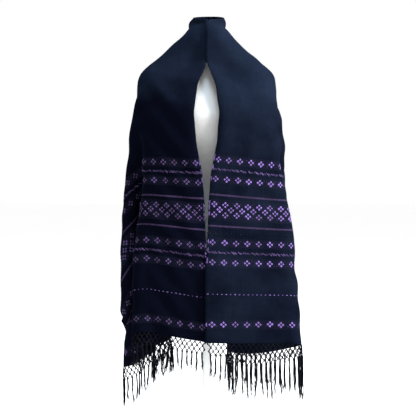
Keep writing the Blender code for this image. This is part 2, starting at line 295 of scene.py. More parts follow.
@dataclass
class Drape:
    """The cloth as a net of points with measured distances, hung over the form by small time steps."""

    cut: Cut
    torso: Torso
    steps: int = 2400
    step_time: float = 1 / 500
    start_bend: float = 0.08
    start_height: float = 1.46
    collar_half_width: float = 0.045
    collar_half_depth: float = 0.060
    collar_height: float = 1.456
    collar_rise: float = 0.013
    collar_flare: float = 0.48
    collar_reach: float = 0.065
    collar_aside: float = 0.006
    neck_ease: float = 0.45
    ease_reach: float = 0.10
    ease_end: float = 0.21
    tail_from: float = 0.80
    tail_grip: float = 0.05
    back_reach: float = 0.148
    overlap: float = 0.006
    lapped_below: float = 0.78
    lapped_above: float = 1.31
    lap_over: float = 0.06
    front_from: float = 0.30
    front_over: float = 0.15
    front_grip: float = 0.10
    behind_from: float = 0.25
    collar_until: float = 0.80
    collar_grip: float = 0.10
    guides_from: float = 0.2
    guides_over: float = 0.3
    slack: float = 0.3
    outline_grip: float = 0.5
    depth_grip: float = 0.3
    bias_give: float = 0.015
    stiffness: tuple = ((2, 3.0), (4, 0.75))
    gap: float = 0.004
    layer_gap: float = 0.0115
    layers_from: float = 0.23
    layers_every: int = 3
    grip: float = 0.3
    led_until: float = 0.46
    grown_from: float = 0.04
    grown_over: float = 0.5
    calm_from: float = 0.6
    speed_kept: tuple = (0.985, 0.97)
    top_speed: float = 3.0
    seed: int = 3
    points: np.ndarray = field(init=False)

    def __post_init__(self) -> None:
        """Lays out the flat cloth's measures and where its inner selvedge will hang."""
        self.u, self.v = np.meshgrid(self.cut.across(), self.cut.along(), indexing="ij")
        self.side = np.sign(self.v)
        self.reach = np.abs(self.v)
        self.pitch_u = self.cut.width / (self.u.shape[0] - 1)
        self.pitch_v = 2 * self.cut.half_length / (self.u.shape[1] - 1)
        self.rest_v = self.pitch_v * self._ease((self.u[:, 1:] + self.u[:, :-1]) / 2,
                                                (self.reach[:, 1:] + self.reach[:, :-1]) / 2)
        self.arc = self._arc()
        self.edge = self._edge_targets()
        self.points = self._folded_start()
        self._plan_guides()

    def _ease(self, u: np.ndarray, reach: np.ndarray) -> np.ndarray:
        """How much the cloth is eased along its length round the neck."""
        near_edge = np.exp(-((u / self.ease_reach) ** 2))
        near_neck = 1 / (1 + np.exp((reach - self.ease_end) / 0.01))
        return 1 + self.neck_ease * near_edge * near_neck

    def _arc(self) -> np.ndarray:
        """The eased length from the middle of the back to each point."""
        middle = self.u.shape[1] // 2
        arc = np.zeros_like(self.u)
        arc[:, middle + 1:] = np.cumsum(self.rest_v[:, middle:], axis=1)
        arc[:, :middle] = np.cumsum(self.rest_v[:, :middle][:, ::-1], axis=1)[:, ::-1]
        return arc

    def _edge_targets(self) -> np.ndarray:
        """Where each point of the inner selvedge hangs: round the neck, then down the front."""
        ring = math.pi * math.sqrt((self.collar_half_width**2 + self.collar_half_depth**2) / 2)
        fine = np.linspace(self.collar_height - self.collar_rise, 0.3, 600)
        heights = [stop.height for stop in EDGE_PATH]
        aside = np.interp(fine, heights, [stop.aside for stop in EDGE_PATH])
        forward = np.interp(fine, heights, [stop.forward for stop in EDGE_PATH])
        lengths = np.hypot(np.hypot(np.diff(fine), np.diff(aside)), np.diff(forward))
        run = np.concatenate([[0.0], np.cumsum(lengths)])
        arc, side = self.arc[0], self.side[0]
        angle = math.pi * np.minimum(arc / ring, 1.0)
        round_neck = np.stack([
            side * self.collar_half_width * np.sin(angle) + self.collar_aside,
            self.collar_half_depth * np.cos(angle),
            self.collar_height + self.collar_rise * np.cos(angle),
        ], axis=-1)
        past = np.maximum(arc - ring, 0.0)
        height = np.interp(past, run, fine)
        lapped = np.maximum(self.lapped_below - height, height - self.lapped_above) / self.lap_over
        lapped = np.clip(lapped, 0.0, 1.0) * self.overlap * side
        down = np.stack([
            side * np.interp(past, run, aside) + self.collar_aside * np.exp(-past / 0.04),
            -np.interp(past, run, forward) - lapped,
            height,
        ], axis=-1)
        return np.where((arc < ring)[:, None], round_neck, down)

    def _folded_start(self) -> np.ndarray:
        """The flat cloth bent over both shoulders round slanting cylinders, with no stretch at all."""
        bend = self.start_bend
        shift = math.pi * bend / math.sqrt(2)
        over_shoulder = (self.reach - self.u - shift) / math.sqrt(2)
        along_shoulder = (self.reach + self.u) / math.sqrt(2)
        angle = np.clip(over_shoulder / bend, -math.pi / 2, math.pi / 2)
        beyond = np.maximum(np.abs(over_shoulder) - math.pi * bend / 2, 0.0)
        level = bend * np.cos(angle) - beyond
        start = np.stack([
            self.side * (along_shoulder + level) / math.sqrt(2),
            -bend * np.sin(angle),
            self.start_height + (level - along_shoulder) / math.sqrt(2),
        ], axis=-1)
        return start + np.random.default_rng(self.seed).normal(0.0, 0.0004, start.shape)

    def _plan_guides(self) -> None:
        """Where a hand would smooth the cloth to: the fronts, the collar and the two corners."""
        height = np.broadcast_to(self.edge[:, 2], self.u.shape)
        share = sided(FRONT_SHARE, self.reach, self.v)
        across = np.clip(self.u / share, 0.0, 1.0)
        fold_out = sided(FRONT_FOLD, height, self.v)
        depths = np.array(FOLD_DEPTH)
        fold_forward = np.interp(height, depths[:, 0], depths[:, 1])
        edge_out = np.abs(self.edge[:, 0])
        self.front = (self.u <= share + 0.001) & (self.reach > self.front_from)
        self.front_target = np.stack([
            self.side * (edge_out + (fold_out - edge_out) * across),
            self.edge[:, 1] + (-fold_forward - self.edge[:, 1]) * across**2,
            height + sided(FOLD_RISE, self.reach, self.v) * across,
        ], axis=-1)[self.front]
        nearness = np.clip((self.reach - self.front_from) / self.front_over, 0.0, 1.0)
        self.front_pull = self.front_grip * nearness[self.front][:, None]
        self.behind = (self.u > share) & (self.reach > self.behind_from)

        radius = self.collar_half_width + self.collar_flare * self.u
        angle = self.arc / (radius + (self.collar_half_depth - self.collar_half_width) / 2)
        self.collar = (self.u > 0) & (self.u < self.collar_reach) & (angle < self.collar_until * math.pi)
        self.collar_target = np.stack([
            self.side * radius * np.sin(angle) + self.collar_aside,
            (self.collar_half_depth + self.collar_flare * self.u) * np.cos(angle),
            self.collar_height + self.collar_rise * np.cos(angle) - self.u,
        ], axis=-1)[self.collar]

        self.tail = self.behind & (self.reach > self.tail_from)
        tail_share = ((self.u - share) / (self.cut.width - share))[self.tail]
        lowness = (self.reach[self.tail] - self.tail_from) / (self.cut.half_length - self.tail_from)
        side, level = self.side[self.tail], height[self.tail]
        self.tail_target = np.zeros((len(side), 3))
        for sign, stops in TAILS.items():
            way = np.array(stops)
            aside, forward, drop = (np.interp(tail_share, way[:, 0], way[:, k]) for k in (1, 2, 3))
            place = np.stack([sign * aside, -forward, level - drop * lowness], axis=-1)
            self.tail_target[side == sign] = place[side == sign]
        self.tail_pull = (self.tail_grip * lowness)[:, None]

    def _guide(self, progress: float) -> None:
        """Smooths the cloth towards its guides, more and more as it settles."""
        if progress < self.guides_from:
            return
        hold = min(1.0, (progress - self.guides_from) / self.guides_over)
        slack = (1 - hold) * self.slack
        points = self.points
        points[self.front] += (self.front_target - points[self.front]) * self.front_pull * hold
        points[self.collar] += (self.collar_target - points[self.collar]) * self.collar_grip * hold
        points[self.tail] += (self.tail_target - points[self.tail]) * self.tail_pull * hold
        limit = sided(OUTLINE, points[..., 2], points[..., 0]) + slack
        past = np.maximum(np.abs(points[..., 0]) - limit, 0.0)
        points[..., 0] -= np.sign(points[..., 0]) * past * self.outline_grip
        depths = np.array(FOLD_DEPTH)
        ahead = -np.interp(points[..., 2], depths[:, 0], depths[:, 2]) - points[..., 1]
        points[..., 1] += np.where(self.behind & (ahead > 0), ahead * self.depth_grip * hold, 0.0)
        points[..., 1] -= np.maximum(points[..., 1] - self.back_reach - slack, 0.0) * self.depth_grip

    @staticmethod
    def _pull(first: np.ndarray, second: np.ndarray, rest: np.ndarray, give: float) -> None:
        """Moves pairs of points towards the distance that the flat cloth has between them."""
        apart = second - first
        length = np.sqrt(np.einsum("...k,...k->...", apart, apart)) + 1e-9
        share = ((length - rest) / (length * (2 + give)))[..., None] * apart
        first += share
        second -= share

    def _hold_measures(self) -> None:
        """Keeps the cloth's own distances: threads, bias and stiffness against bending."""
        p, du, dv = self.points, self.pitch_u, self.rest_v
        for odd in (0, 1):
            first, second = p[odd:-1:2], p[odd + 1::2]
            self._pull(first[:len(second)], second, du, 0.0)
        for odd in (0, 1):
            first, second = p[:, odd:-1:2], p[:, odd + 1::2]
            self._pull(first[:, :second.shape[1]], second, dv[:, odd::2], 0.0)
        bias = np.hypot(du, dv[:-1])
        for odd in (0, 1):
            upper, lower = p[odd:-1:2], p[odd + 1::2]
            upper, rest = upper[:len(lower)], bias[odd::2][:len(lower)]
            self._pull(upper[:, :-1], lower[:, 1:], rest, self.bias_give)
            self._pull(upper[:, 1:], lower[:, :-1], rest, self.bias_give)
        for reach, give in self.stiffness:
            self._pull(p[:-reach], p[reach:], reach * du, give)
            rest = sum(dv[:, k:dv.shape[1] - reach + 1 + k] for k in range(reach))
            self._pull(p[:, :-reach], p[:, reach:], rest, give)

    def _part_layers(self) -> None:
        """Pushes apart points of different layers that come closer than the layer gap."""
        flat = self.points.reshape(-1, 3)
        cell = np.floor(flat / self.layer_gap).astype(np.int64) + CELLS // 2
        key = (cell[:, 0] * CELLS + cell[:, 1]) * CELLS + cell[:, 2]
        order = np.argsort(key, kind="stable")
        keys = key[order]
        rows, columns = np.divmod(np.arange(len(flat)), self.points.shape[1])
        pairs = []
        for dx, dy in ((0, 0), (0, 1), (1, -1), (1, 0), (1, 1)):
            base = key + (dx * CELLS + dy) * CELLS
            low = np.searchsorted(keys, base - 1, "left")
            high = np.searchsorted(keys, base + 1, "right")
            counts = high - low
            for extra in range(int(counts.max(initial=0))):
                has = np.where(counts > extra)[0]
                pairs.append(np.stack([has, order[low[has] + extra]]))
        first, second = np.concatenate(pairs, axis=1)
        far = np.abs(rows[first] - rows[second]) + np.abs(columns[first] - columns[second]) > 2
        first, second = first[far], second[far]
        apart = flat[second] - flat[first]
        length = np.sqrt((apart * apart).sum(1)) + 1e-9
        near = length < self.layer_gap
        first, second, apart, length = first[near], second[near], apart[near], length[near]
        share = (0.25 * (self.layer_gap - length) / length)[:, None] * apart
        for axis in range(3):
            flat[:, axis] -= np.bincount(first, share[:, axis], len(flat))
            flat[:, axis] += np.bincount(second, share[:, axis], len(flat))

    def settle(self) -> np.ndarray:
        """Hangs the cloth.

        Returns:
            The points of the hung cloth, across by along by three.
        """
        selvedge = self.points[0].copy()
        speed = np.zeros_like(self.points)
        fall = np.array([0.0, 0.0, -9.81])
        for step in range(self.steps):
            progress = step / self.steps
            lead = min(1.0, progress / self.led_until)
            lead = lead * lead * (3 - 2 * lead)
            grown = min(1.0, max(0.0, (progress - self.grown_from) / self.grown_over))
            speed = (speed + fall * self.step_time) * self.speed_kept[progress >= self.calm_from]
            before = self.points.copy()
            self.points += speed * self.step_time
            self._guide(progress)
            pinned = selvedge + (self.edge - selvedge) * lead
            self.points[0] = pinned
            self._hold_measures()
            self.points[0] = pinned
            if progress > self.layers_from and step % self.layers_every == 0:
                self._part_layers()
            self.torso.push_out(self.points.reshape(-1, 3), before.reshape(-1, 3), grown, self.gap, self.grip)
            speed = (self.points - before) / self.step_time
            pace = np.linalg.norm(speed, axis=-1, keepdims=True)
            speed *= np.minimum(1.0, self.top_speed / (pace + 1e-9))
        return self.points


def mesh_points(mesh: bpy.types.Mesh) -> np.ndarray:
    """The vertices of a mesh, one row each."""
    flat = np.zeros(len(mesh.vertices) * 3)
    mesh.vertices.foreach_get("co", flat)
    return flat.reshape(-1, 3)


# ---- node trees ----------------------------------------------------------------------------------
class Graph:
    """A node tree with short ways to add and link nodes."""

    def __init__(self, tree: bpy.types.NodeTree) -> None:
        """Takes the tree that the nodes go in."""
        self.tree = tree

    def feed(self, socket: bpy.types.NodeSocket, value: object) -> None:
        """Links a socket to another socket or node, or sets its own value."""
        if isinstance(value, bpy.types.Node):
            value = value.outputs[0]
        if isinstance(value, bpy.types.NodeSocket):
            self.tree.links.new(value, socket)
        else:
            socket.default_value = value

    def add(self, kind: str, inputs: dict | None = None, **settings: object) -> bpy.types.Node:
        """Adds a node.

        Args:
            kind: the node's type.
            inputs: values or sockets for its inputs, by name or number.
            settings: the node's own properties.

        Returns:
            The node.
        """
        node = self.tree.nodes.new(kind)
        for name, value in settings.items():
            setattr(node, name, value)
        for key, value in (inputs or {}).items():
            self.feed(node.inputs[key], value)
        return node

    def math(self, operation: str, *values: object) -> bpy.types.NodeSocket:
        """Adds a math node and returns its result."""
        return self.add("ShaderNodeMath", dict(enumerate(values)), operation=operation).outputs[0]

    def vector(self, operation: str, *values: object) -> bpy.types.NodeSocket:
        """Adds a vector math node and returns its result."""
        return self.add("ShaderNodeVectorMath", dict(enumerate(values)), operation=operation).outputs[0]

    def tint(self, factor: object, first: object, second: object) -> bpy.types.NodeSocket:
        """Mixes two colours and returns the mix."""
        return self.add("ShaderNodeMix", {0: factor, 6: first, 7: second}, data_type="RGBA").outputs[2]

    def band(self, at: object, centre: float, half: float, soft: float) -> bpy.types.NodeSocket:
        """A mask that is 1 within half of a centre and fades to 0 over a soft edge."""
        off = self.math("ABSOLUTE", self.math("SUBTRACT", at, centre))
        fade = self.add("ShaderNodeMapRange", {
            "Value": off, "From Min": half, "From Max": half + soft, "To Min": 1.0, "To Max": 0.0,
        }, interpolation_type="SMOOTHSTEP")
        return fade.outputs[0]

    def span(self, value: object, low: float, high: float, to_low: float = 0.0,
             to_high: float = 1.0) -> bpy.types.NodeSocket:
        """Maps low to to_low and high to to_high, in a straight line that stops at both, and returns it."""
        return self.add("ShaderNodeMapRange", {
            "Value": value, "From Min": low, "From Max": high, "To Min": to_low, "To Max": to_high,
        }).outputs[0]

    def toned(self, colour: object, *tones: object) -> bpy.types.NodeSocket:
        """Multiplies a colour by tones near 1 and returns it."""
        tone = self.math("MULTIPLY", *tones)
        return self.add("ShaderNodeMix", {0: 1.0, 6: colour, 7: tone}, data_type="RGBA",
                        blend_type="MULTIPLY").outputs[2]

    def bump(self, shader: bpy.types.Node, height: object, strength: float, distance: float) -> None:
        """Gives a shader a relief."""
        relief = {"Height": height, "Strength": strength, "Distance": distance}
        self.feed(shader.inputs["Normal"], self.add("ShaderNodeBump", relief))

    def effect(self, tree: bpy.types.NodeTree, vector: object, **values: float) -> bpy.types.Node:
        """Places one of the shared effects with its own values."""
        return self.add("ShaderNodeGroup", {"Vector": vector, **values}, node_tree=tree)

    def attribute(self, name: str, kind: str = "FLOAT_VECTOR") -> bpy.types.NodeSocket:
        """Reads a mesh's attribute in a Geometry Nodes tree."""
        return self.add("GeometryNodeInputNamedAttribute", {"Name": name}, data_type=kind).outputs[0]

    def total(self, values: Sequence[object]) -> object:
        """Adds up values."""
        result = values[0]
        for value in values[1:]:
            result = self.math("ADD", result, value)
        return result


def new_group(
    name: str, kind: str, inputs: dict, outputs: dict
) -> tuple[Graph, bpy.types.Node, bpy.types.Node]:
    """Starts a node group.

    Args:
        name: the group's name.
        kind: ShaderNodeTree or GeometryNodeTree.
        inputs: socket types and default values by name.
        outputs: socket types by name.

    Returns:
        The graph, its input node and its output node.
    """
    tree = bpy.data.node_groups.new(name, kind)
    for label, (socket_type, default) in inputs.items():
        socket = tree.interface.new_socket(label, in_out="INPUT", socket_type=socket_type)
        if default is not None:
            socket.default_value = default
    for label, socket_type in outputs.items():
        tree.interface.new_socket(label, in_out="OUTPUT", socket_type=socket_type)
    graph = Graph(tree)
    return graph, graph.add("NodeGroupInput"), graph.add("NodeGroupOutput")


FLOAT, VECTOR = "NodeSocketFloat", "NodeSocketVector"
GEOMETRY, OBJECT, MATERIAL = "NodeSocketGeometry", "NodeSocketObject", "NodeSocketMaterial"


def threads_group() -> bpy.types.NodeTree:
    """Over-and-under threads with uneven thickness, as a height and as a tone near 1."""
    graph, given, result = new_group(
        "Threads", "ShaderNodeTree",
        {"Vector": (VECTOR, None), "Across": (FLOAT, 0.001), "Along": (FLOAT, 0.001), "Slub": (FLOAT, 0.2)},
        {"Height": FLOAT, "Tone": FLOAT},
    )
    place = graph.add("ShaderNodeSeparateXYZ", {0: given.outputs["Vector"]})
    waves = [
        graph.math("SINE", graph.math(
            "MULTIPLY", graph.math("DIVIDE", place.outputs[k], given.outputs[name]), math.pi))
        for k, name in ((0, "Across"), (1, "Along"))
    ]
    streaks = [
        graph.add("ShaderNodeTexNoise", {
            "Vector": graph.vector("MULTIPLY", given.outputs["Vector"], scale), "Scale": 1.0, "Detail": 3.0,
        }).outputs[0]
        for scale in ((900.0, 9.0, 9.0), (9.0, 700.0, 9.0))
    ]
    uneven = graph.math("SUBTRACT", graph.total(streaks), 1.0)
    slub = graph.math("MULTIPLY", uneven, given.outputs["Slub"])
    weave = graph.math("MULTIPLY_ADD", graph.math("MULTIPLY", waves[0], waves[1]), 0.5, 0.5)
    graph.feed(result.inputs["Height"], graph.math("ADD", weave, slub))
    graph.feed(result.inputs["Tone"], graph.math("ADD", slub, 1.0))
    return graph.tree


def fibres_group() -> bpy.types.NodeTree:
    """Loose fibres and handling, as a height and as a tone near 1."""
    graph, given, result = new_group(
        "Fibres", "ShaderNodeTree",
        {"Vector": (VECTOR, None), "Scale": (FLOAT, 400.0), "Amount": (FLOAT, 0.2)},
        {"Height": FLOAT, "Tone": FLOAT},
    )
    fine = graph.add("ShaderNodeTexNoise", {
        "Vector": given.outputs["Vector"], "Scale": given.outputs["Scale"], "Detail": 4.0, "Roughness": 0.65,
    })
    broad = graph.add("ShaderNodeTexNoise", {
        "Vector": given.outputs["Vector"], "Detail": 2.0,
        "Scale": graph.math("DIVIDE", given.outputs["Scale"], 60.0),
    })
    both = graph.math("SUBTRACT", graph.math("ADD", fine.outputs[0], broad.outputs[0]), 1.0)
    graph.feed(result.inputs["Height"], fine.outputs[0])
    graph.feed(result.inputs["Tone"], graph.math("MULTIPLY_ADD", both, given.outputs["Amount"], 1.0))
    return graph.tree


def twist_group() -> bpy.types.NodeTree:
    """The slanting plies of spun yarn, as a height and as a tone near 1."""
    graph, given, result = new_group(
        "Twist", "ShaderNodeTree",
        {"Vector": (VECTOR, None), "Ply": (FLOAT, 0.0016), "Amount": (FLOAT, 0.3)},
        {"Height": FLOAT, "Tone": FLOAT},
    )
    wave = graph.add("ShaderNodeTexWave", {
        "Vector": given.outputs["Vector"], "Scale": graph.math("DIVIDE", 0.16, given.outputs["Ply"]),
        "Distortion": 2.5, "Detail": 2.0, "Detail Scale": 2.0,
    }, bands_direction="DIAGONAL")
    centred = graph.math("SUBTRACT", wave.outputs[1], 0.5)
    graph.feed(result.inputs["Height"], wave.outputs[1])
    graph.feed(result.inputs["Tone"], graph.math("MULTIPLY_ADD", centred, given.outputs["Amount"], 1.0))
    return graph.tree


class Effects:
    """The shader groups that more than one finish uses, built once."""

    def __init__(self) -> None:
        """Builds the groups."""
        self.threads = threads_group()
        self.fibres = fibres_group()
        self.twist = twist_group()


# ---- finishes ------------------------------------------------------------------------------------
Colour = tuple[float, float, float]


def opaque(colour: Colour) -> tuple[float, float, float, float]:
    """A colour with full alpha."""
    return (*colour, 1.0)


def start_material(name: str, **values: object) -> tuple[bpy.types.Material, Graph, bpy.types.Node]:
    """Starts a material.

    Args:
        name: the material's name.
        values: what the shader's own sockets hold, by name with spaces as underscores.

    Returns:
        The material, its graph and its shader.
    """
    made = bpy.data.materials.new(name)
    made.use_nodes = True
    shader = made.node_tree.nodes["Principled BSDF"]
    for key, value in values.items():
        shader.inputs[key.replace("_", " ")].default_value = value
    return made, Graph(made.node_tree), shader


@dataclass(frozen=True)
class ShawlCotton:
    """The shawl's ground cloth, with the bands that are woven into it and not laid on."""

    cut: Cut
    ground: Colour = (0.0012, 0.0015, 0.0040)
    # the lighter colour: real fading by noise, and also the painted highlight round the shoulders
    worn_and_painted_light: Colour = (0.0066, 0.0106, 0.0198)
    muted: Colour = (0.022, 0.014, 0.034)
    speck: Colour = (0.0060, 0.0064, 0.0130)
    thread: float = 0.0009
    shoulder_at: float = 0.20
    # how much painted highlight lies round the shoulders and upper chest, where light from above falls
    shoulder_painted_highlight: float = 0.22
    # painted shade: how much darker the left end is, as the light falls from the right
    left_painted_shade: float = 0.40
    thin_stripes: tuple = (0.4240, 0.335)
    ribbed: tuple = ((0.4465, 0.013), (0.312, 0.016))
    brocaded: tuple = ((0.524, 0.012), (0.469, 0.012), (0.382, 0.028), (0.288, 0.012), (0.231, 0.012),
                       (0.0537, 0.012))
    openwork: tuple = (0.314,)
    hole_pitch: float = 0.0066
    rib_pitch: float = 0.0042

    def build(self, effects: Effects) -> bpy.types.Material:
        """Makes the material."""
        made, graph, shader = start_material(
            "shawl_cotton", Roughness=0.88, Sheen_Weight=0.012, Sheen_Roughness=0.5,
            Sheen_Tint=(0.40, 0.55, 1.0, 1.0), Specular_IOR_Level=0.0,
        )
        chart = graph.add("ShaderNodeUVMap", uv_map=CLOTH_MAP)
        size = (self.cut.width, 2 * self.cut.half_length, 1.0)
        flat = graph.vector("MULTIPLY", chart, size)
        place = graph.add("ShaderNodeSeparateXYZ", {0: flat})
        from_middle = graph.math("ABSOLUTE", graph.math("SUBTRACT", place.outputs[1], self.cut.half_length))
        at_right = graph.math("GREATER_THAN", place.outputs[1], self.cut.half_length)
        slip = graph.math("MULTIPLY_ADD", at_right, self.cut.slips[1] - self.cut.slips[0], self.cut.slips[0])
        from_hem = graph.math("SUBTRACT", graph.math("SUBTRACT", self.cut.half_length, from_middle), slip)
        threads = graph.effect(effects.threads, flat, Across=self.thread, Along=self.thread * 0.8, Slub=0.5)
        fibres = graph.effect(effects.fibres, flat, Scale=260.0, Amount=0.9)
        wear = graph.add("ShaderNodeTexNoise", {"Vector": flat, "Scale": 7.0, "Detail": 5.0, "Roughness": 0.6})
        faded = graph.span(wear.outputs[0], 0.30, 0.80, 0.0, 0.60)
        # painted highlight: the cloth round the shoulders and upper chest lighter and bluer, as if lit from
        # above
        shoulders = graph.band(from_middle, self.shoulder_at, 0.10, 0.10)
        fade_and_painted_light = graph.math("ADD", faded, graph.math("MULTIPLY", shoulders, self.shoulder_painted_highlight))
        # painted shade: the left end darker, as it gets less of the light from the right
        fade_and_painted_light = graph.math("SUBTRACT", fade_and_painted_light, graph.span(place.outputs[1], 0.66, 0.82, self.left_painted_shade, 0.0))
        colour = graph.tint(fade_and_painted_light, opaque(self.ground), opaque(self.worn_and_painted_light))
        stripes = graph.total([graph.band(from_hem, at, 0.0022, 0.0008) for at in self.thin_stripes])
        colour = graph.tint(graph.math("MULTIPLY", stripes, 0.8), colour, opaque(self.muted))
        brocaded = graph.total([graph.band(from_hem, at, half, 0.003) for at, half in self.brocaded])
        specks = graph.math("MULTIPLY", brocaded, self._lattice(graph, place))
        colour = graph.tint(specks, colour, opaque(self.speck))
        toned = graph.toned(colour, threads.outputs["Tone"], fibres.outputs["Tone"])
        graph.feed(shader.inputs["Base Color"], toned)
        graph.feed(shader.inputs["Alpha"], self._openwork(graph, place, from_hem, at_right))

        ribs = graph.total([graph.band(from_hem, at, half, 0.002) for at, half in self.ribbed])
        ridge = graph.math("SINE", graph.math("MULTIPLY", place.outputs[0], 2 * math.pi / self.rib_pitch))
        creases = graph.add("ShaderNodeTexNoise", {
            "Vector": graph.vector("MULTIPLY", flat, (9.0, 5.0, 1.0)),
            "Scale": 2.4, "Detail": 3.0, "Distortion": 0.6,
        })
        height = graph.total([
            graph.math("MULTIPLY", threads.outputs["Height"], 0.10),
            graph.math("MULTIPLY", fibres.outputs["Height"], 0.12),
            graph.math("MULTIPLY", graph.math("MULTIPLY", ribs, ridge), 0.25),
            graph.math("MULTIPLY", creases.outputs[0], 3.2),
        ])
        graph.bump(shader, height, 0.7, 0.0012)
        return made

    def _lattice(self, graph: Graph, place: bpy.types.Node) -> bpy.types.NodeSocket:
        """Fine slanting floats that cross between the flowers: a mask."""
        lines = []
        for operation in ("ADD", "SUBTRACT"):
            slant = graph.math(operation, place.outputs[0], graph.math("MULTIPLY", place.outputs[1], 1.15))
            turn = graph.math("FRACT", graph.math("DIVIDE", slant, Brocade.spacing / 6))
            off = graph.math("ABSOLUTE", graph.math("SUBTRACT", turn, 0.5))
            lines.append(graph.math("LESS_THAN", off, 0.16))
        return graph.math("MULTIPLY", graph.math("MAXIMUM", *lines), 0.6)

    def _openwork(self, graph: Graph, place: bpy.types.Node, from_hem: object,
                  at_right: object) -> bpy.types.NodeSocket:
        """A row of small holes at the right end, where bunches of warp are drawn together: the alpha."""
        turn = graph.math("FRACT", graph.math("DIVIDE", place.outputs[0], self.hole_pitch))
        across = graph.math("LESS_THAN", graph.math("ABSOLUTE", graph.math("SUBTRACT", turn, 0.5)), 0.13)
        rows = graph.total([graph.band(from_hem, at, 0.0013, 0.0003) for at in self.openwork])
        holes = graph.math("MULTIPLY", graph.math("MULTIPLY", across, rows), at_right)
        return graph.math("SUBTRACT", 1.0, holes)


@dataclass(frozen=True)
class YarnFinish:
    """Spun yarn whose colour runs from dull to bright by the attribute SHADE."""

    name: str
    dull: Colour
    bright: Colour
    ply: float
    roughness: float = 0.7
    sheen: float = 0.15
    sheen_tint: Colour = (1.0, 1.0, 1.0)
    shine: float = 0.2

    def build(self, effects: Effects) -> bpy.types.Material:
        """Makes the material."""
        made, graph, shader = start_material(
            self.name, Roughness=self.roughness, Sheen_Weight=self.sheen, Sheen_Roughness=0.4,
            Sheen_Tint=opaque(self.sheen_tint), Specular_IOR_Level=self.shine,
        )
        place = graph.add("ShaderNodeTexCoord").outputs["Object"]
        run = graph.add("ShaderNodeAttribute", attribute_name=SHADE)
        twist = graph.effect(effects.twist, place, Ply=self.ply, Amount=0.5)
        fibres = graph.effect(effects.fibres, place, Scale=900.0, Amount=0.8)
        colour = graph.tint(run.outputs["Fac"], opaque(self.dull), opaque(self.bright))
        toned = graph.toned(colour, twist.outputs["Tone"], fibres.outputs["Tone"])
        graph.feed(shader.inputs["Base Color"], toned)
        graph.bump(shader, twist.outputs["Height"], 0.6, 0.0004)
        return made


@dataclass(frozen=True)
class Jersey:
    """The form's knitted cover, a little fuzzy."""

    colour: Colour = (0.42, 0.42, 0.415)
    shadow: Colour = (0.315, 0.305, 0.295)
    seam: Colour = (0.22, 0.21, 0.20)
    stitch: float = 0.0016
    side_seam: float = -0.006
    seam_width: tuple = (0.0004, 0.0008)

    def build(self, effects: Effects) -> bpy.types.Material:
        """Makes the material."""
        made, graph, shader = start_material(
            "form_jersey", Roughness=0.9, Sheen_Weight=0.15, Sheen_Roughness=0.5, Specular_IOR_Level=0.2,
        )
        place = graph.add("ShaderNodeTexCoord").outputs["Object"]
        aside, back, height = graph.add("ShaderNodeSeparateXYZ", {0: place}).outputs
        turned = graph.add("ShaderNodeCombineXYZ", {0: graph.math("ADD", aside, back), 1: height})
        threads = graph.effect(effects.threads, turned, Across=self.stitch, Along=self.stitch * 0.7, Slub=0.3)
        fibres = graph.effect(effects.fibres, place, Scale=320.0, Amount=0.9)
        light = graph.span(fibres.outputs["Tone"], 0.75, 1.2)
        knit = graph.tint(light, opaque(self.shadow), opaque(self.colour))
        behind = graph.math("GREATER_THAN", back, 0.0)
        middle = graph.math("MULTIPLY", graph.band(aside, 0.0, *self.seam_width), behind)
        seams = graph.math("MAXIMUM", middle, graph.band(back, self.side_seam, *self.seam_width))
        graph.feed(shader.inputs["Base Color"], graph.tint(seams, knit, opaque(self.seam)))
        ribs = graph.math("MULTIPLY", threads.outputs["Height"], 0.4)
        height = graph.math("ADD", ribs, fibres.outputs["Height"])
        height = graph.math("SUBTRACT", height, graph.math("MULTIPLY", seams, 2.0))
        graph.bump(shader, height, 0.5, 0.0006)
        return made


@dataclass(frozen=True)
class Enamel:
    """Pale satin paint, rubbed a little where it is handled."""

    colour: Colour = (0.64, 0.64, 0.63)
    rubbed: Colour = (0.47, 0.47, 0.455)

    def build(self, effects: Effects) -> bpy.types.Material:
        """Makes the material."""
        made, graph, shader = start_material(
            "stand_enamel", Roughness=0.35, Coat_Weight=0.15, Coat_Roughness=0.2)
        place = graph.add("ShaderNodeTexCoord").outputs["Object"]
        fibres = graph.effect(effects.fibres, place, Scale=240.0, Amount=0.6)
        tone = fibres.outputs["Tone"]
        scuff = graph.span(tone, 1.18, 1.3)
        graph.feed(shader.inputs["Base Color"], graph.tint(scuff, opaque(self.colour), opaque(self.rubbed)))
        graph.feed(shader.inputs["Roughness"], graph.span(tone, 0.8, 1.3, 0.30, 0.50))
        graph.bump(shader, fibres.outputs["Height"], 0.08, 0.0002)
        return made


# ---- making what repeats -------------------------------------------------------------------------
CLOTH_MAP = "cloth"
OUTWARD = "outward"
SHADE = "shade"
THICKNESS = "thickness"


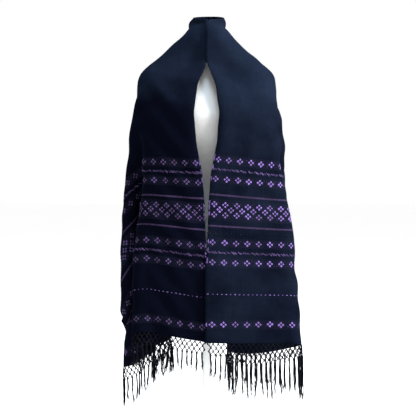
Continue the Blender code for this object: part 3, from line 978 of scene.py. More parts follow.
def lay_group() -> bpy.types.NodeTree:
    """Lays a flat chart on a surface: x and y are places on it, z is the height above it."""
    graph, given, result = new_group(
        "Lay on surface", "GeometryNodeTree",
        {"Geometry": (GEOMETRY, None), "Surface": (OBJECT, None), "Size": (VECTOR, (1.0, 1.0, 1.0))},
        {"Geometry": GEOMETRY},
    )
    surface = graph.add("GeometryNodeObjectInfo", {"Object": given.outputs["Surface"]}).outputs["Geometry"]
    chart = graph.add("GeometryNodeInputPosition")
    lift = graph.add("ShaderNodeSeparateXYZ", {0: chart}).outputs[2]
    share = graph.vector("DIVIDE", chart, given.outputs["Size"])
    inside = graph.vector("MAXIMUM", graph.vector("MINIMUM", share, (0.9995,) * 3), (0.0005,) * 3)
    flat = graph.vector("MULTIPLY", inside, (1.0, 1.0, 0.0))
    outward, place = (
        graph.add("GeometryNodeSampleUVSurface", {0: surface, 1: value, 2: graph.attribute(CLOTH_MAP), 3: flat},
                  data_type="FLOAT_VECTOR").outputs[0]
        for value in (graph.attribute(OUTWARD), graph.add("GeometryNodeInputPosition"))
    )
    rise = graph.add("ShaderNodeVectorMath", {0: outward, "Scale": lift}, operation="SCALE")
    moved = graph.add("GeometryNodeSetPosition", {
        "Geometry": given.outputs["Geometry"], "Position": graph.vector("ADD", place, rise),
    })
    graph.feed(result.inputs[0], moved)
    return graph.tree


class Way(Enum):
    """How a chart becomes a piece."""

    INLAY = "Inlay"
    YARN = "Yarn"
    KNOT = "Knot"


CHART_INPUTS = {
    "Geometry": (GEOMETRY, None),
    "Surface": (OBJECT, None),
    "Size": (VECTOR, (1.0, 1.0, 1.0)),
    "Shape": (OBJECT, None),
    "Radius": (FLOAT, 0.001),
    "Sides": ("NodeSocketInt", 6),
    "Finish": (MATERIAL, None),
}


def chart_tree(way: Way, lay: bpy.types.NodeTree) -> bpy.types.NodeTree:
    """Builds the tree that turns a chart into a piece.

    Args:
        way: INLAY lays copies of a shape in the surface, YARN spins tubes along lines on it, and KNOT
            sets whole copies of a shape on it, turned at random.
        lay: the group that lays a chart on a surface.

    Returns:
        The tree.
    """
    graph, given, result = new_group(way.value, "GeometryNodeTree", CHART_INPUTS, {"Geometry": GEOMETRY})

    def laid(geometry: bpy.types.NodeSocket) -> bpy.types.Node:
        """The geometry laid on the surface."""
        shared = {key: given.outputs[key] for key in ("Surface", "Size")}
        return graph.add("GeometryNodeGroup", {"Geometry": geometry, **shared}, node_tree=lay)

    thickness = graph.attribute(THICKNESS, "FLOAT")
    shape = graph.add("GeometryNodeObjectInfo", {"Object": given.outputs["Shape"]}).outputs["Geometry"]
    if way is Way.INLAY:
        copies = graph.add("GeometryNodeInstanceOnPoints", {
            "Points": given.outputs["Geometry"], "Instance": shape, "Scale": thickness,
        })
        placed = laid(graph.add("GeometryNodeRealizeInstances", {0: copies}).outputs[0])
        made = graph.add("GeometryNodeFlipFaces", {"Mesh": placed})
    elif way is Way.KNOT:
        turn = graph.add("FunctionNodeRandomValue", {
            0: (0.0, 0.0, 0.0), 1: (math.tau, math.tau, math.tau), "Seed": 11,
        }, data_type="FLOAT_VECTOR").outputs[0]
        made = graph.add("GeometryNodeInstanceOnPoints", {
            "Points": laid(given.outputs["Geometry"]), "Instance": shape, "Rotation": turn, "Scale": thickness,
        })
    else:
        lines = graph.add("GeometryNodeMeshToCurve", {0: laid(given.outputs["Geometry"])})
        ring = graph.add("GeometryNodeCurvePrimitiveCircle", {
            "Resolution": given.outputs["Sides"], "Radius": given.outputs["Radius"],
        })
        made = graph.add("GeometryNodeCurveToMesh", {
            "Curve": lines, "Profile Curve": ring, "Scale": thickness, "Fill Caps": True,
        })
    smooth = graph.add("GeometryNodeSetShadeSmooth", {"Geometry": made})
    whole = graph.add("GeometryNodeRealizeInstances", {0: smooth})
    dressed = graph.add("GeometryNodeSetMaterial", {"Geometry": whole, "Material": given.outputs["Finish"]})
    graph.feed(result.inputs[0], dressed)
    return graph.tree


@dataclass
class Chart:
    """A flat drawing in metres that is laid on a surface: places, lines between them and values."""

    places: list = field(default_factory=list)
    lines: list = field(default_factory=list)
    thickness: list = field(default_factory=list)
    shade: list = field(default_factory=list)

    def dot(self, place: Sequence[float], thickness: float = 1.0, shade: float = 0.5) -> None:
        """Adds one place."""
        self.places.append(tuple(place))
        self.thickness.append(thickness)
        self.shade.append(shade)

    def line(
        self, places: Sequence[Sequence[float]], thickness: Sequence[float], shade: Sequence[float]
    ) -> None:
        """Adds a line through places."""
        first = len(self.places)
        for place, thick, tone in zip(places, thickness, shade):
            self.dot(place, float(thick), float(tone))
        self.lines += [(k, k + 1) for k in range(first, len(self.places) - 1)]

    def mesh(self, name: str) -> bpy.types.Mesh:
        """The chart as a mesh of loose edges."""
        mesh = bpy.data.meshes.new(name)
        mesh.from_pydata(self.places, self.lines, [])
        for label, values in ((THICKNESS, self.thickness), (SHADE, self.shade)):
            mesh.attributes.new(label, "FLOAT", "POINT").data.foreach_set("value", values)
        return mesh


@dataclass
class Surface:
    """A surface that charts are laid on, with the metres that its map covers."""

    piece: bpy.types.Object
    size: tuple[float, float]


class Workshop:
    """Turns charts into pieces with the shared trees."""

    def __init__(self) -> None:
        """Builds the trees once."""
        lay = lay_group()
        self.trees = {way: chart_tree(way, lay) for way in Way}

    def make(self, name: str, way: Way, chart: Chart, surface: Surface, finish: bpy.types.Material,
             **sizes: object) -> bpy.types.Object:
        """Makes a piece.

        Args:
            name: the piece's name.
            way: how the chart becomes a piece.
            chart: the flat drawing.
            surface: what it lies on.
            finish: its material.
            sizes: further inputs of the tree, by name.

        Returns:
            The piece, with a plain mesh and no modifier.
        """
        piece = place_object(name, chart.mesh(name))
        modifier = piece.modifiers.new(way.value, "NODES")
        modifier.node_group = self.trees[way]
        values = {"Surface": surface.piece, "Size": (*surface.size, 1.0), "Finish": finish, **sizes}
        for item in self.trees[way].interface.items_tree:
            if item.item_type == "SOCKET" and item.in_out == "INPUT" and item.name in values:
                modifier[item.identifier] = values[item.name]
        depsgraph = bpy.context.evaluated_depsgraph_get()
        mesh = bpy.data.meshes.new_from_object(piece.evaluated_get(depsgraph))
        piece.modifiers.remove(modifier)
        flat, piece.data = piece.data, mesh
        bpy.data.meshes.remove(flat)
        mesh.name = name
        LOG.info("%s: %d faces", name, len(mesh.polygons))
        return piece


def place_object(name: str, mesh: bpy.types.Mesh) -> bpy.types.Object:
    """Puts a mesh in the scene at the origin."""
    made = bpy.data.objects.new(name, mesh)
    bpy.context.scene.collection.objects.link(made)
    return made


def shape_object(name: str, shape: bmesh.types.BMesh) -> bpy.types.Object:
    """Puts a finished shape in the scene at the origin, and frees it."""
    mesh = bpy.data.meshes.new(name)
    shape.to_mesh(mesh)
    shape.free()
    return place_object(name, mesh)


def belong(piece: bpy.types.Object, slot: str, *nodes: str) -> None:
    """Attaches a piece to the body so that it moves with it, and hides the CAD nodes it stands for."""
    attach(piece, BODY)
    if nodes:
        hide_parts(*nodes)


def grid_mesh(name: str, points: np.ndarray, outward: np.ndarray) -> bpy.types.Mesh:
    """A mesh over a grid of points, with a map of 0 to 1 both ways and its outward directions.

    Args:
        name: the mesh's name.
        points: rows by columns by three.
        outward: the direction away from the form at each point.

    Returns:
        The mesh, smooth, with faces that look outward.
    """
    rows, columns = points.shape[:2]
    index = np.arange(rows * columns).reshape(rows, columns)
    faces = np.stack([index[:-1, :-1], index[:-1, 1:], index[1:, 1:], index[1:, :-1]], axis=-1).reshape(-1, 4)
    mesh = bpy.data.meshes.new(name)
    mesh.from_pydata(points.reshape(-1, 3).tolist(), [], faces.tolist())
    share = np.stack(np.meshgrid(np.linspace(0, 1, rows), np.linspace(0, 1, columns), indexing="ij"), axis=-1)
    layer = mesh.uv_layers.new(name=CLOTH_MAP)
    layer.data.foreach_set("uv", share.reshape(-1, 2)[faces.ravel()].ravel())
    mesh.attributes.new(OUTWARD, "FLOAT_VECTOR", "POINT").data.foreach_set("vector", outward.ravel())
    mesh.shade_smooth()
    return mesh


def refine(points: np.ndarray, axis: int) -> np.ndarray:
    """Puts a point between each two along an axis, on a smooth curve through its neighbours."""
    line = np.moveaxis(points, axis, 0)
    before = np.concatenate([2 * line[:1] - line[1:2], line[:-2]])
    after = np.concatenate([line[2:], 2 * line[-1:] - line[-2:-1]])
    between = (9 * (line[:-1] + line[1:]) - before - after) / 16
    finer = np.empty((2 * len(line) - 1, *line.shape[1:]))
    finer[::2] = line
    finer[1::2] = between
    return np.moveaxis(finer, 0, axis)


def unit(vectors: np.ndarray) -> np.ndarray:
    """Vectors of length 1."""
    return vectors / (np.linalg.norm(vectors, axis=-1, keepdims=True) + 1e-12)


# ---- the shawl -----------------------------------------------------------------------------------
CLOTH_NODES = ("neck_wrap", "back_curtain", "front_left", "front_right", "fall_left", "fall_right")


@dataclass
class Shawl:
    """The hung cloth: the settled net made finer, with its wall."""

    cut: Cut
    net: np.ndarray
    torso: Torso
    smoothing: float = 0.5
    rounds: int = 2
    gap: float = 0.0026
    creases: int = 46
    crease_slope: float = 0.030
    crease_lengths: tuple = (0.028, 0.100)
    crease_bend: float = 1.5
    crease_patch: tuple = (1.3, 4.5)
    seed: int = 17

    def __post_init__(self) -> None:
        """Smooths the net, makes it finer, keeps it off the form and finds which way is outward."""
        net, selvedge = self.net.copy(), self.net[0].copy()
        for _ in range(self.rounds):
            for axis in (0, 1):
                line = np.moveaxis(net, axis, 0)
                line[1:-1] += self.smoothing * ((line[:-2] + line[2:]) / 2 - line[1:-1])
        net[0] = selvedge
        self.points = np.ascontiguousarray(refine(refine(net, 0), 1))
        for _ in range(4):
            self.torso.push_out(self.points.reshape(-1, 3), self.points.reshape(-1, 3), 1.0, self.gap, 0.0)
        self.outward = self._outward()
        self.points += self.outward * self._handling()[..., None]
        self.outward = self._outward()

    def _outward(self) -> np.ndarray:
        """The direction away from the form at each point."""
        across, along = np.gradient(self.points, axis=0), np.gradient(self.points, axis=1)
        return unit(np.cross(along, across))

    def _handling(self) -> np.ndarray:
        """The soft creases of folding and wear, as a height at each point: short waves in patches."""
        hand = np.random.default_rng(self.seed)
        rows, columns = self.points.shape[:2]
        u, v = np.meshgrid(np.linspace(0, self.cut.width, rows),
                           np.linspace(0, 2 * self.cut.half_length, columns), indexing="ij")
        height = np.zeros((rows, columns))
        for _ in range(self.creases):
            length = hand.uniform(*self.crease_lengths)
            angle = hand.uniform(0.0, math.pi)
            cu, cv = hand.uniform(0, self.cut.width), hand.uniform(0, 2 * self.cut.half_length)
            along = (u - cu) * math.cos(angle) + (v - cv) * math.sin(angle)
            across = (v - cv) * math.cos(angle) - (u - cu) * math.sin(angle)
            short, long = self.crease_patch
            patch = np.exp(-(along / (short * length)) ** 2 - (across / (long * length)) ** 2)
            bend = across**2 * hand.uniform(-self.crease_bend, self.crease_bend)
            wave = np.cos(math.tau * (along + bend) / length)
            height += patch * wave * self.crease_slope * length / math.tau * 3
        return height

    def surface(self) -> Surface:
        """The middle of the cloth's wall, to lay charts on."""
        guide = place_object("cloth_guide", grid_mesh("cloth_guide", self.points, self.outward))
        return Surface(guide, (self.cut.width, 2 * self.cut.half_length))

    def build(self, finish: bpy.types.Material) -> bpy.types.Object:
        """Makes the cloth.

        Args:
            finish: its material.

        Returns:
            The cloth with its wall.
        """
        mesh = grid_mesh("shawl_cloth", self.points, self.outward)
        mesh.attributes.remove(mesh.attributes[OUTWARD])
        mesh.materials.append(finish)
        piece = place_object("shawl_cloth", mesh)
        wall = piece.modifiers.new("Wall", "SOLIDIFY")
        wall.thickness = self.cut.wall
        wall.offset = 0.0
        belong(piece, "cotton", *CLOTH_NODES)
        return piece


def lens(name: str, across: float, along: float, thick: float, slant: float = 0.0, sides: int = 8,
         corners_out: float = 0.0) -> bpy.types.Object:
    """A shape for an inlaid float: a flat pebble, thickest in its middle.

    Args:
        name: the shape's name.
        across: half its size along the weft.
        along: half its size along the warp.
        thick: half its thickness.
        slant: how far it leans along the weft for each metre along the warp.
        sides: how many corners its outline has.
        corners_out: 0 for a round outline, 1 for a diamond.

    Returns:
        The shape, to be copied and then removed.
    """
    shape = bmesh.new()
    bmesh.ops.create_uvsphere(shape, u_segments=sides, v_segments=4, radius=1.0)
    for vertex in shape.verts:
        x, y, z = vertex.co
        square = 1.0 / (abs(x) + abs(y)) if abs(x) + abs(y) > 0.2 else 1.0
        reach = 1.0 + corners_out * (square * math.hypot(x, y) - 1.0)
        vertex.co = (x * reach * across + y * reach * along * slant, y * reach * along, z * thick)
    return shape_object(name, shape)


class Row(NamedTuple):
    """A row of flowers: how far above the hem it lies, and how far it is shifted along the weft."""

    rise: float
    shift: float


@dataclass
class Brocade:
    """The floats laid in by hand between the warp threads, mirrored at both ends of the shawl."""

    cut: Cut
    spacing: float = 0.033
    petal: float = 0.0043
    petal_off: float = 0.0060
    wall: float = 0.00125
    rows: tuple = (Row(0.524, 0.0), Row(0.469, 0.0), Row(0.3965, 0.0), Row(0.3820, 0.5), Row(0.3675, 0.0),
                   Row(0.288, 0.0), Row(0.231, 0.0), Row(0.0537, 0.0))
    slub_rows: tuple = (0.4965, 0.2595)
    slub_step: float = 0.0060
    dash_rises: tuple = (0.140,)
    dash_step: float = 0.0125
    bead_rises: tuple = (0.4240, 0.335)
    bead_step: float = 0.0042
    # painted shade: the tone of the left end's flowers, darker as the light falls from the right
    painted_left_yarn_shade: float = 0.30
    turn_reach: float = 0.0035
    seed: int = 21

    def __post_init__(self) -> None:
        """Starts the hand's unevenness."""
        self.hand = np.random.default_rng(self.seed)

    def _places(self, step: float, shift: float = 0.0) -> np.ndarray:
        """Even places across the width."""
        count = int((self.cut.width - shift * step) / step)
        return (np.arange(count) + 0.5 + shift) * step

    def _at(self, side: int, across: float, rise: float) -> tuple[float, float, float]:
        """A place on the chart, at a rise in the pattern of one end."""
        rise = rise + self.cut.slip(side)
        return (float(across), float(rise if side < 0 else 2 * self.cut.half_length - rise), 0.0)

    def flowers(self) -> tuple[Chart, Chart]:
        """The petals, and the small dull floats between the flowers."""
        petals, specks = Chart(), Chart()
        for side in (-1, 1):
            for rise, shift in self.rows:
                for across in self._places(self.spacing, shift):
                    slip, lean = self.hand.normal(0.0, (0.0005, 0.0005))
                    # painted shade: flowers on the left end darker; past the first 7 cm some there are darker
                    # still, at random
                    tone = self.hand.uniform(0.45, 1.0) * (self.painted_left_yarn_shade if side < 0 else 1.0)
                    if side < 0 and across > 0.07 and self.hand.random() < 0.45:
                        tone *= 0.3
                    for dx, dy in ((1, 0), (-1, 0), (0, 1), (0, -1)):
                        off_u, off_v = dx * self.petal_off, dy * self.petal_off * 0.92
                        place = self._at(side, across + slip + off_u, rise + lean + off_v)
                        petals.dot(place, self.hand.uniform(0.88, 1.1), tone * self.hand.uniform(0.8, 1.1))
                    for dx, dy in ((1, 1), (-1, 1), (1, -1), (-1, -1)):
                        place = self._at(side, across + dx * 0.0125, rise + dy * 0.0052)
                        specks.dot(place, self.hand.uniform(0.6, 1.0), self.hand.uniform(0.0, 0.5))
        return petals, specks

    def slubs(self) -> Chart:
        """Thick slanting tufts in a row, as a roving twisted through the warp."""
        chart = Chart()
        for side in (-1, 1):
            for rise in self.slub_rows:
                for across in self._places(self.slub_step):
                    place = self._at(
                        side, across + self.hand.normal(0, 0.0012), rise + self.hand.normal(0, 0.0005))
                    # painted shade: tufts on the left end at half tone
                    tone = self.hand.uniform(0.05, 0.45) * (0.5 if side < 0 else 1.0)
                    chart.dot(place, self.hand.uniform(0.55, 1.12), tone)
        return chart

    def dashes(self) -> Chart:
        """The fine dashed row and the two lines of beaded twill."""
        chart = Chart()
        for side in (-1, 1):
            for rise in self.dash_rises:
                for across in self._places(self.dash_step):
                    # painted shade: dashes on the left end darker
                    tone = self.hand.uniform(0.35, 0.95) * (0.45 if side < 0 else 1.0)
                    chart.dot(self._at(side, across, rise), self.hand.uniform(0.7, 1.15), tone)
            for rise in self.bead_rises:
                for across in self._places(self.bead_step):
                    place = self._at(side, across, rise)
                    chart.dot(place, self.hand.uniform(0.45, 0.75), self.hand.uniform(0.0, 0.16))
        return chart

    def turns(self) -> Chart:
        """Where the brocading yarn turns back at the inner selvedge."""
        chart = Chart()
        for side in (-1, 1):
            for rise in [row.rise for row in self.rows] + list(self.slub_rows):
                for _ in range(3):
                    low = rise + self.hand.uniform(-0.007, 0.007)
                    share = np.linspace(0, 1, 7)
                    out = self.turn_reach * np.abs(np.cos(math.pi * share)) + 0.0006
                    places = [self._at(side, a, low + 0.007 * s) for a, s in zip(out, share)]
                    lifted = [(x, y, 0.0022 * math.sin(math.pi * s)) for (x, y, _), s in zip(places, share)]
                    chart.line(lifted, [1.0] * 7, [self.hand.uniform(0.1, 0.8)] * 7)
        return chart

    def build(self, workshop: Workshop, surface: Surface, finish: bpy.types.Material) -> list[bpy.types.Object]:
        """Makes the floats.

        Args:
            workshop: what turns charts into pieces.
            surface: the middle of the cloth.
            finish: the yarn.

        Returns:
            The pieces, riding on the body.
        """
        petals, specks = self.flowers()
        petal = lens("petal_shape", self.petal, self.petal, self.wall, corners_out=0.75)
        speck = lens("speck_shape", 0.0013, 0.0010, self.wall * 0.72, sides=6)
        tuft = lens("tuft_shape", 0.0021, 0.0050, self.wall * 1.25, slant=1.15, sides=9)
        dash = lens("dash_shape", 0.0036, 0.0017, self.wall, sides=7)
        made = [
            workshop.make("brocade_flowers", Way.INLAY, petals, surface, finish, Shape=petal),
            workshop.make("brocade_specks", Way.INLAY, specks, surface, finish, Shape=speck),
            workshop.make("brocade_slubs", Way.INLAY, self.slubs(), surface, finish, Shape=tuft),
            workshop.make("brocade_dashes", Way.INLAY, self.dashes(), surface, finish, Shape=dash),
            workshop.make("selvedge_turns", Way.YARN, self.turns(), surface, finish, Radius=0.0008, Sides=6),
        ]
        for shape in (petal, speck, tuft, dash):
            bpy.data.objects.remove(shape)
        for piece in made:
            belong(piece, "cotton")
        return made


class End(NamedTuple):
    """One end of the shawl: its name, its side, and the CAD nodes its fringe stands for."""

    name: str
    side: int
    net_nodes: tuple
    tassel_nodes: tuple


ENDS = (
    End("left", -1, ("lattice_front_left", "lattice_fall_left"), ("tassels_front_left", "tassels_fall_left")),
    End("right", 1, ("lattice_front_right", "lattice_fall_right"),
        ("tassels_front_right", "tassels_fall_right")),
)


@dataclass
class Fringe:
    """The warp ends of one end of the shawl, knotted into a net and left hanging as tassels."""

    cut: Cut
    shawl: Shawl
    end: End
    depth: float = 0.172
    start_above: float = 0.006
    cell: float = 0.0142
    net_rows: int = 3
    row_drop: float = 0.0104
    cord: float = 0.00150
    knot: float = 0.0028
    strands: int = 6
    strand: float = 0.00098
    lengths_at: tuple = (0.0, 0.30, 0.66)
    lengths: tuple = ((0.058, 0.054, 0.084), (0.070, 0.104, 0.108))
    length_range: tuple = (0.84, 1.12)
    heavy_length: float = 0.126
    heavy: float = 1.45
    bundle: float = 0.0019
    drift: float = 0.0042
    sway: float = 0.003
    wander: float = 0.0012
    frizz: float = 0.00035
    stations: int = 11
    fold_at: tuple = (0.262, 0.300)
    seed: int = 40

    def __post_init__(self) -> None:
        """Starts the hand's unevenness."""
        self.hand = np.random.default_rng(self.seed + self.end.side)

    def surface(self) -> Surface:
        """A skirt that hangs from the hem, first in line with the cloth and then straight down."""
        rows = self.shawl.points if self.end.side > 0 else self.shawl.points[:, ::-1]
        hem, above = rows[:, -1], rows[:, -4]
        sideways = unit(np.gradient(hem, axis=0))
        line = unit(hem - above)
        down = np.array([0.0, 0.0, -1.0])
        drops = np.linspace(0.0, self.depth + self.start_above, 27)
        points = [hem - line * self.start_above]
        for drop, step in zip(drops[1:], np.diff(drops)):
            share = math.exp(-max(drop - self.start_above, 0.0) / 0.03)
            points.append(points[-1] + unit(line * share + down * (1 - share)) * step)
        grid = np.stack(points, axis=1)
        along = np.gradient(grid, axis=1)
        outward = unit(np.cross(along, np.broadcast_to(sideways[:, None], grid.shape)))
        if self.end.side < 0:
            outward = -outward
        name = f"fringe_guide_{self.end.name}"
        guide = place_object(name, grid_mesh(name, grid, outward))
        return Surface(guide, (self.cut.width, self.depth + self.start_above))

    def _knot_at(self, row: int, column: float) -> tuple[float, float]:
        """Where a knot of the net is, across and down."""
        across = (column + 0.5) * self.cell
        return across, self.start_above + self.row_drop * (row + 0.25)

    def net(self) -> tuple[Chart, Chart]:
        """The slanting cords of the net and its knots."""
        cords, knots = Chart(), Chart()
        count = int(self.cut.width / self.cell)
        shifts = self.hand.normal(0.0, (0.0009, 0.0007), (self.net_rows + 1, 2 * count + 2, 2))

        def place(row: int, half_column: int, lift: float) -> tuple[float, float, float]:
            """The knot's uneven place; half columns run across the width."""
            across, drop = self._knot_at(row, half_column / 2)
            dx, dy = shifts[row, half_column % (2 * count)]
            return (min(max(across + dx, 0.001), self.cut.width - 0.001), drop + (dy if row else 0.0), lift)

        for row in range(self.net_rows + 1):
            for half in range(row % 2, 2 * count - 1, 2):
                knots.dot(place(row, half, 0.0), self.hand.uniform(0.85, 1.15), self.hand.uniform(0, 0.15))
                if row == self.net_rows:
                    continue
                for step in (-1, 1):
                    if 0 <= half + step < 2 * count - 1:
                        start, stop = place(row, half, 0.0), place(row + 1, half + step, 0.0)
                        middle = [(a + b) / 2 for a, b in zip(start, stop)]
                        bow = (middle[0] + step * 0.0009, middle[1] - 0.0003, self.hand.normal(0, 0.0004))
                        tone = self.hand.uniform(0, 0.12)
                        cords.line([start, bow, stop], [1.1, self.hand.uniform(0.85, 1.05), 1.1], [tone] * 3)
        return cords, knots

    def tassels(self) -> tuple[Chart, Chart]:
        """The loose strands under each last knot, and the wraps that hold them."""
        strands, wraps = Chart(), Chart()
        count = int(self.cut.width / self.cell)
        last = self.net_rows
        for half in range(last % 2, 2 * count - 1, 2):
            across, top = self._knot_at(last, half / 2)
            usual = np.interp(across, self.lengths_at, self.lengths[self.end.side > 0])
            whole = usual * self.hand.uniform(*self.length_range)
            heavy = 1.0
            if self.end.side > 0 and self.fold_at[0] < across < self.fold_at[1]:
                whole, heavy = self.heavy_length, self.heavy
            whole = min(whole, self.depth + self.start_above - top - 0.004)
            drift = self.hand.normal(0.0, self.drift)
            sway = self.hand.normal(0.0, self.sway)
            waves, phase = self.hand.uniform(0.6, 1.5), self.hand.uniform(0, math.tau)
            for number in range(self.strands):
                turn = math.tau * number / self.strands + phase
                ring = self.bundle * heavy if number else 0.0
                length = whole * self.hand.uniform(0.86, 1.0)
                share = np.linspace(0.0, 1.0, self.stations)
                loose = share**1.5
                spread = ring * (0.75 + 0.7 * loose) + 0.0008 * loose * self.hand.random()
                spin = turn + share * self.hand.uniform(2.0, 4.5)
                wander = self.wander * np.sin(share * math.tau * waves + phase) * share**0.5
                frizz = self.hand.normal(0.0, self.frizz, (2, self.stations)) * share
                x = across + drift * share**1.4 + wander + spread * np.cos(spin) + frizz[0]
                z = sway * share**1.3 + spread * np.sin(spin) + frizz[1]
                y = top + length * share
                thick = self.hand.uniform(0.8, 1.15) * heavy * (1.0 - 0.45 * share**4)
                tone = np.clip(0.15 + 0.85 * (share - 0.78) / 0.22, 0.1, 1.0) * self.hand.uniform(0.4, 1.0)
                places = list(zip(np.clip(x, 0.001, self.cut.width - 0.001).tolist(), y.tolist(), z.tolist()))
                strands.line(places, thick, tone)
            wraps.dot((across, top + 0.0012, 0.0), self.hand.uniform(1.15, 1.4), 0.1)
        return strands, wraps

    def build(self, workshop: Workshop, finish: bpy.types.Material) -> list[bpy.types.Object]:
        """Makes the fringe.

        Args:
            workshop: what turns charts into pieces.
            finish: the cord.

        Returns:
            The net, its knots and the tassels, riding on the body.
        """
        surface = self.surface()
        cords, knots = self.net()
        strands, wraps = self.tassels()
        lump = knot_shape(self.knot)
        name = self.end.name
        net = workshop.make(f"fringe_net_{name}", Way.YARN, cords, surface, finish, Radius=self.cord, Sides=6)
        small = workshop.make(f"fringe_knots_{name}", Way.KNOT, knots, surface, finish, Shape=lump)
        large = workshop.make(f"tassel_knots_{name}", Way.KNOT, wraps, surface, finish, Shape=lump)
        hanging = workshop.make(
            f"tassels_{name}", Way.YARN, strands, surface, finish, Radius=self.strand, Sides=5)
        bpy.data.objects.remove(lump)
        bpy.data.objects.remove(surface.piece)
        belong(net, "fringe", *self.end.net_nodes)
        belong(small, "fringe")
        belong(large, "fringe")
        belong(hanging, "fringe", *self.end.tassel_nodes)
        return [net, small, large, hanging]


def knot_shape(size: float) -> bpy.types.Object:
    """A small overhand knot, as a lump with the turn of a cord round it."""
    shape = bmesh.new()
    bmesh.ops.create_icosphere(shape, subdivisions=2, radius=size)
    for vertex in shape.verts:
        x, y, z = vertex.co / size
        vertex.co *= 1.0 + 0.16 * math.sin(3.0 * math.atan2(y, x) + 4.0 * z) - 0.10 * abs(z)
    return shape_object("knot_shape", shape)


# ---- the form and its stand ----------------------------------------------------------------------
@dataclass
class DressForm:
    """The form's jersey cover and the enamelled parts of its stand."""

    torso: Torso
    around: int = 112
    levels: int = 150
    hem_roll: float = 0.0014
    hem_height: float = 0.014
    crease: float = math.radians(35)
    edge: float = 0.0008
    stand_nodes: tuple = ("neck_cap", "pole_socket", "pole", "foot_plate")

    def _ring(self, height: float, inset: float = 0.0) -> np.ndarray:
        """One level ring of the cover."""
        half, front, back = (
            smooth_read(height, self.torso.heights, sizes) - inset
            for sizes in (self.torso.half_widths, self.torso.fronts, self.torso.backs)
        )
        angle = np.arange(self.around) * math.tau / self.around
        power = 2 / self.torso.squareness
        cos, sin = np.cos(angle), np.sin(angle)
        x = half * np.sign(cos) * np.abs(cos) ** power
        depth = np.where(sin > 0, back, front)
        y = depth * np.sign(sin) * np.abs(sin) ** power
        return np.stack([x, y, np.full_like(x, height)], axis=-1)

    def cover(self, finish: bpy.types.Material) -> bpy.types.Object:
        """The knitted cover, gathered in under the form and at its neck."""
        low, high = self.torso.heights[0], self.torso.heights[-1]
        rings = [self._ring(low, inset) for inset in (0.030, 0.012, 0.004)]
        rings += [
            self._ring(height, -self.hem_roll * math.exp(-(((height - low) / self.hem_height - 1) * 2.5) ** 2))
            for height in np.linspace(low + 0.003, high - 0.0015, self.levels)
        ]
        rings += [self._ring(high, inset) for inset in (0.002, 0.006)]
        rows = np.array(rings)
        count = len(rows)
        index = np.arange(count * self.around).reshape(count, self.around)
        ahead = np.roll(index, -1, axis=1)
        faces = np.stack([index[:-1], ahead[:-1], ahead[1:], index[1:]], axis=-1).reshape(-1, 4).tolist()
        faces += [index[0, ::-1].tolist(), index[-1].tolist()]
        mesh = bpy.data.meshes.new("form_cover")
        mesh.from_pydata(rows.reshape(-1, 3).tolist(), [], faces)
        mesh.shade_smooth()
        mesh.materials.append(finish)
        piece = place_object("form_cover", mesh)
        belong(piece, "jersey", "form_torso")
        return piece

    def stand(self, nodes: dict, finish: bpy.types.Material) -> list[bpy.types.Object]:
        """Smooth copies of the enamelled parts, with softened edges."""
        made = []
        for name in self.stand_nodes:
            shape = bmesh.new()
            shape.from_mesh(nodes[name].data)
            bmesh.ops.remove_doubles(shape, verts=shape.verts, dist=1e-5)
            bmesh.ops.dissolve_limit(shape, angle_limit=math.radians(1.0), verts=shape.verts, edges=shape.edges)
            piece = shape_object(f"{name}_enamel", shape)
            piece.data.materials.clear()
            piece.data.materials.append(finish)
            piece.data.shade_smooth()
            piece.data.set_sharp_from_angle(angle=self.crease)
            bevel = piece.modifiers.new("Soft edges", "BEVEL")
            bevel.width = self.edge
            bevel.segments = 2
            bevel.limit_method = "ANGLE"
            bevel.angle_limit = self.crease
            belong(piece, "enamel", name)
            made.append(piece)
        return made


def smooth_read(at: float, places: np.ndarray, values: np.ndarray) -> float:
    """Reads a table with a smooth monotone curve through its values."""
    slope = np.diff(values) / np.diff(places)
    product = slope[:-1] * slope[1:]
    inner = np.where(product > 0, 2 * product / (slope[:-1] + slope[1:] + 1e-12), 0.0)
    ends = np.concatenate([slope[:1], inner, slope[-1:]])
    k = int(np.clip(np.searchsorted(places, at) - 1, 0, len(places) - 2))
    gap = places[k + 1] - places[k]
    t = (at - places[k]) / gap
    first = (1 + 2 * t) * (1 - t) ** 2 * values[k] + t * (1 - t) ** 2 * gap * ends[k]
    return float(first + t * t * (3 - 2 * t) * values[k + 1] + t * t * (t - 1) * gap * ends[k + 1])


# ---- the studio ----------------------------------------------------------------------------------
class Light(NamedTuple):
    """A soft panel: where it stands, its size, its power and its tint."""

    name: str
    place: tuple
    size: float
    power: float
    colour: Colour = (1.0, 1.0, 1.0)


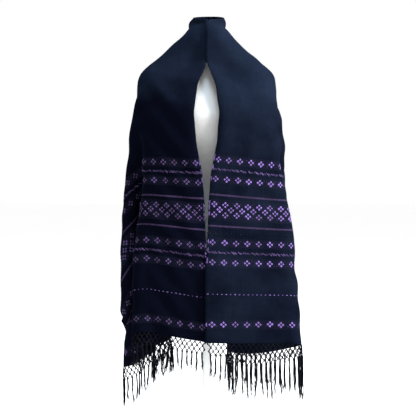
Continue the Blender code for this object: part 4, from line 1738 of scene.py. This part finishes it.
@dataclass
class Studio:
    """A plain pale floor, soft light and the camera."""

    camera_place: tuple = (0.004, -3.06, 1.00)
    aim: tuple = (0.004, -0.06, 0.899)
    seen_width: float = 1.206
    lights: tuple = (
        Light("key_panel", (2.7, -1.5, 2.5), 1.2, 330.0),
        Light("top_panel", (0.1, -0.45, 3.3), 1.0, 80.0, (0.66, 0.84, 1.0)),
        Light("back_panel", (0.3, 2.6, 2.3), 1.8, 40.0),
    )
    surround: float = 1.0
    floor_size: float = 60.0
    floor_tints: tuple = ((0.97, 0.97, 0.97), (0.99, 0.99, 0.99))
    lit_height: float = 0.95

    def floor(self) -> None:
        """The floor, with a faint cast."""
        half = self.floor_size / 2
        mesh = bpy.data.meshes.new("floor")
        corners_of_floor = [(-half, -half, 0), (half, -half, 0), (half, half, 0), (-half, half, 0)]
        mesh.from_pydata(corners_of_floor, [], [(0, 1, 2, 3)])
        made, graph, shader = start_material("floor_paper", Roughness=0.95, Specular_IOR_Level=0.1)
        place = graph.add("ShaderNodeTexCoord").outputs["Object"]
        grain = graph.add("ShaderNodeTexNoise", {"Vector": place, "Scale": 3.0, "Detail": 3.0})
        tint = graph.tint(grain.outputs[0], opaque(self.floor_tints[0]), opaque(self.floor_tints[1]))
        graph.feed(shader.inputs["Base Color"], tint)
        mesh.materials.append(made)
        place_object("floor", mesh)

    def light(self) -> None:
        """The soft panels and the pale surroundings."""
        world = bpy.data.worlds.new("studio")
        world.use_nodes = True
        background = world.node_tree.nodes["Background"]
        background.inputs["Color"].default_value = (1.0, 1.0, 1.0, 1.0)
        background.inputs["Strength"].default_value = self.surround
        bpy.context.scene.world = world
        bpy.context.scene.view_settings.view_transform = "Standard"
        for light in self.lights:
            data = bpy.data.lights.new(light.name, "AREA")
            data.shape = "DISK"
            data.size = light.size
            data.energy = light.power
            data.color = light.colour
            panel = bpy.data.objects.new(light.name, data)
            panel.location = light.place
            towards = Vector((0.0, 0.0, self.lit_height)) - Vector(light.place)
            panel.rotation_euler = towards.to_track_quat("-Z", "Y").to_euler()
            bpy.context.scene.collection.objects.link(panel)

    def camera(self) -> None:
        """The camera, at chest height in front."""
        data = bpy.data.cameras.new("camera")
        camera = bpy.data.objects.new("camera", data)
        place, aim = Vector(self.camera_place), Vector(self.aim)
        data.lens = data.sensor_width * (aim.y - place.y) / self.seen_width
        camera.location = place
        camera.rotation_euler = (aim - place).to_track_quat("-Z", "Y").to_euler()
        bpy.context.scene.collection.objects.link(camera)
        bpy.context.scene.camera = camera

    def build(self) -> None:
        """Sets up the studio."""
        self.floor()
        self.light()
        self.camera()


def main() -> None:
    """Builds the scene in order."""
    logging.basicConfig(level=logging.INFO, format="%(message)s")
    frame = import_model()
    Studio().build()
    effects = Effects()
    cut = Cut()
    torso = Torso.from_node(frame["nodes"]["form_torso"])
    form = DressForm(torso)
    cover = form.cover(Jersey().build(effects))
    stand = form.stand(frame["nodes"], Enamel().build(effects))
    LOG.info("form: cover and %d parts of the stand", len(stand))

    shawl = Shawl(cut, Drape(cut, torso.with_yoke()).settle(), torso)
    cloth = shawl.build(ShawlCotton(cut).build(effects))
    workshop = Workshop()
    guide = shawl.surface()
    yarn = YarnFinish("violet_yarn", (0.018, 0.0085, 0.029), (0.128, 0.074, 0.255), 0.0016,
                      sheen_tint=(0.7, 0.5, 1.0)).build(effects)
    cord = YarnFinish("fringe_cord", (0.0020, 0.0024, 0.0046), (0.024, 0.021, 0.018), 0.0012, 0.8, 0.012,
                      (0.5, 0.65, 1.0), 0.0).build(effects)
    extras = Brocade(cut).build(workshop, guide, yarn)
    for end in ENDS:
        extras += Fringe(cut, shawl, end).build(workshop, cord)
    bpy.data.objects.remove(guide.piece)
    LOG.info("shawl: %d pieces on the cloth", len(extras))


if __name__ == "__main__":
    main()
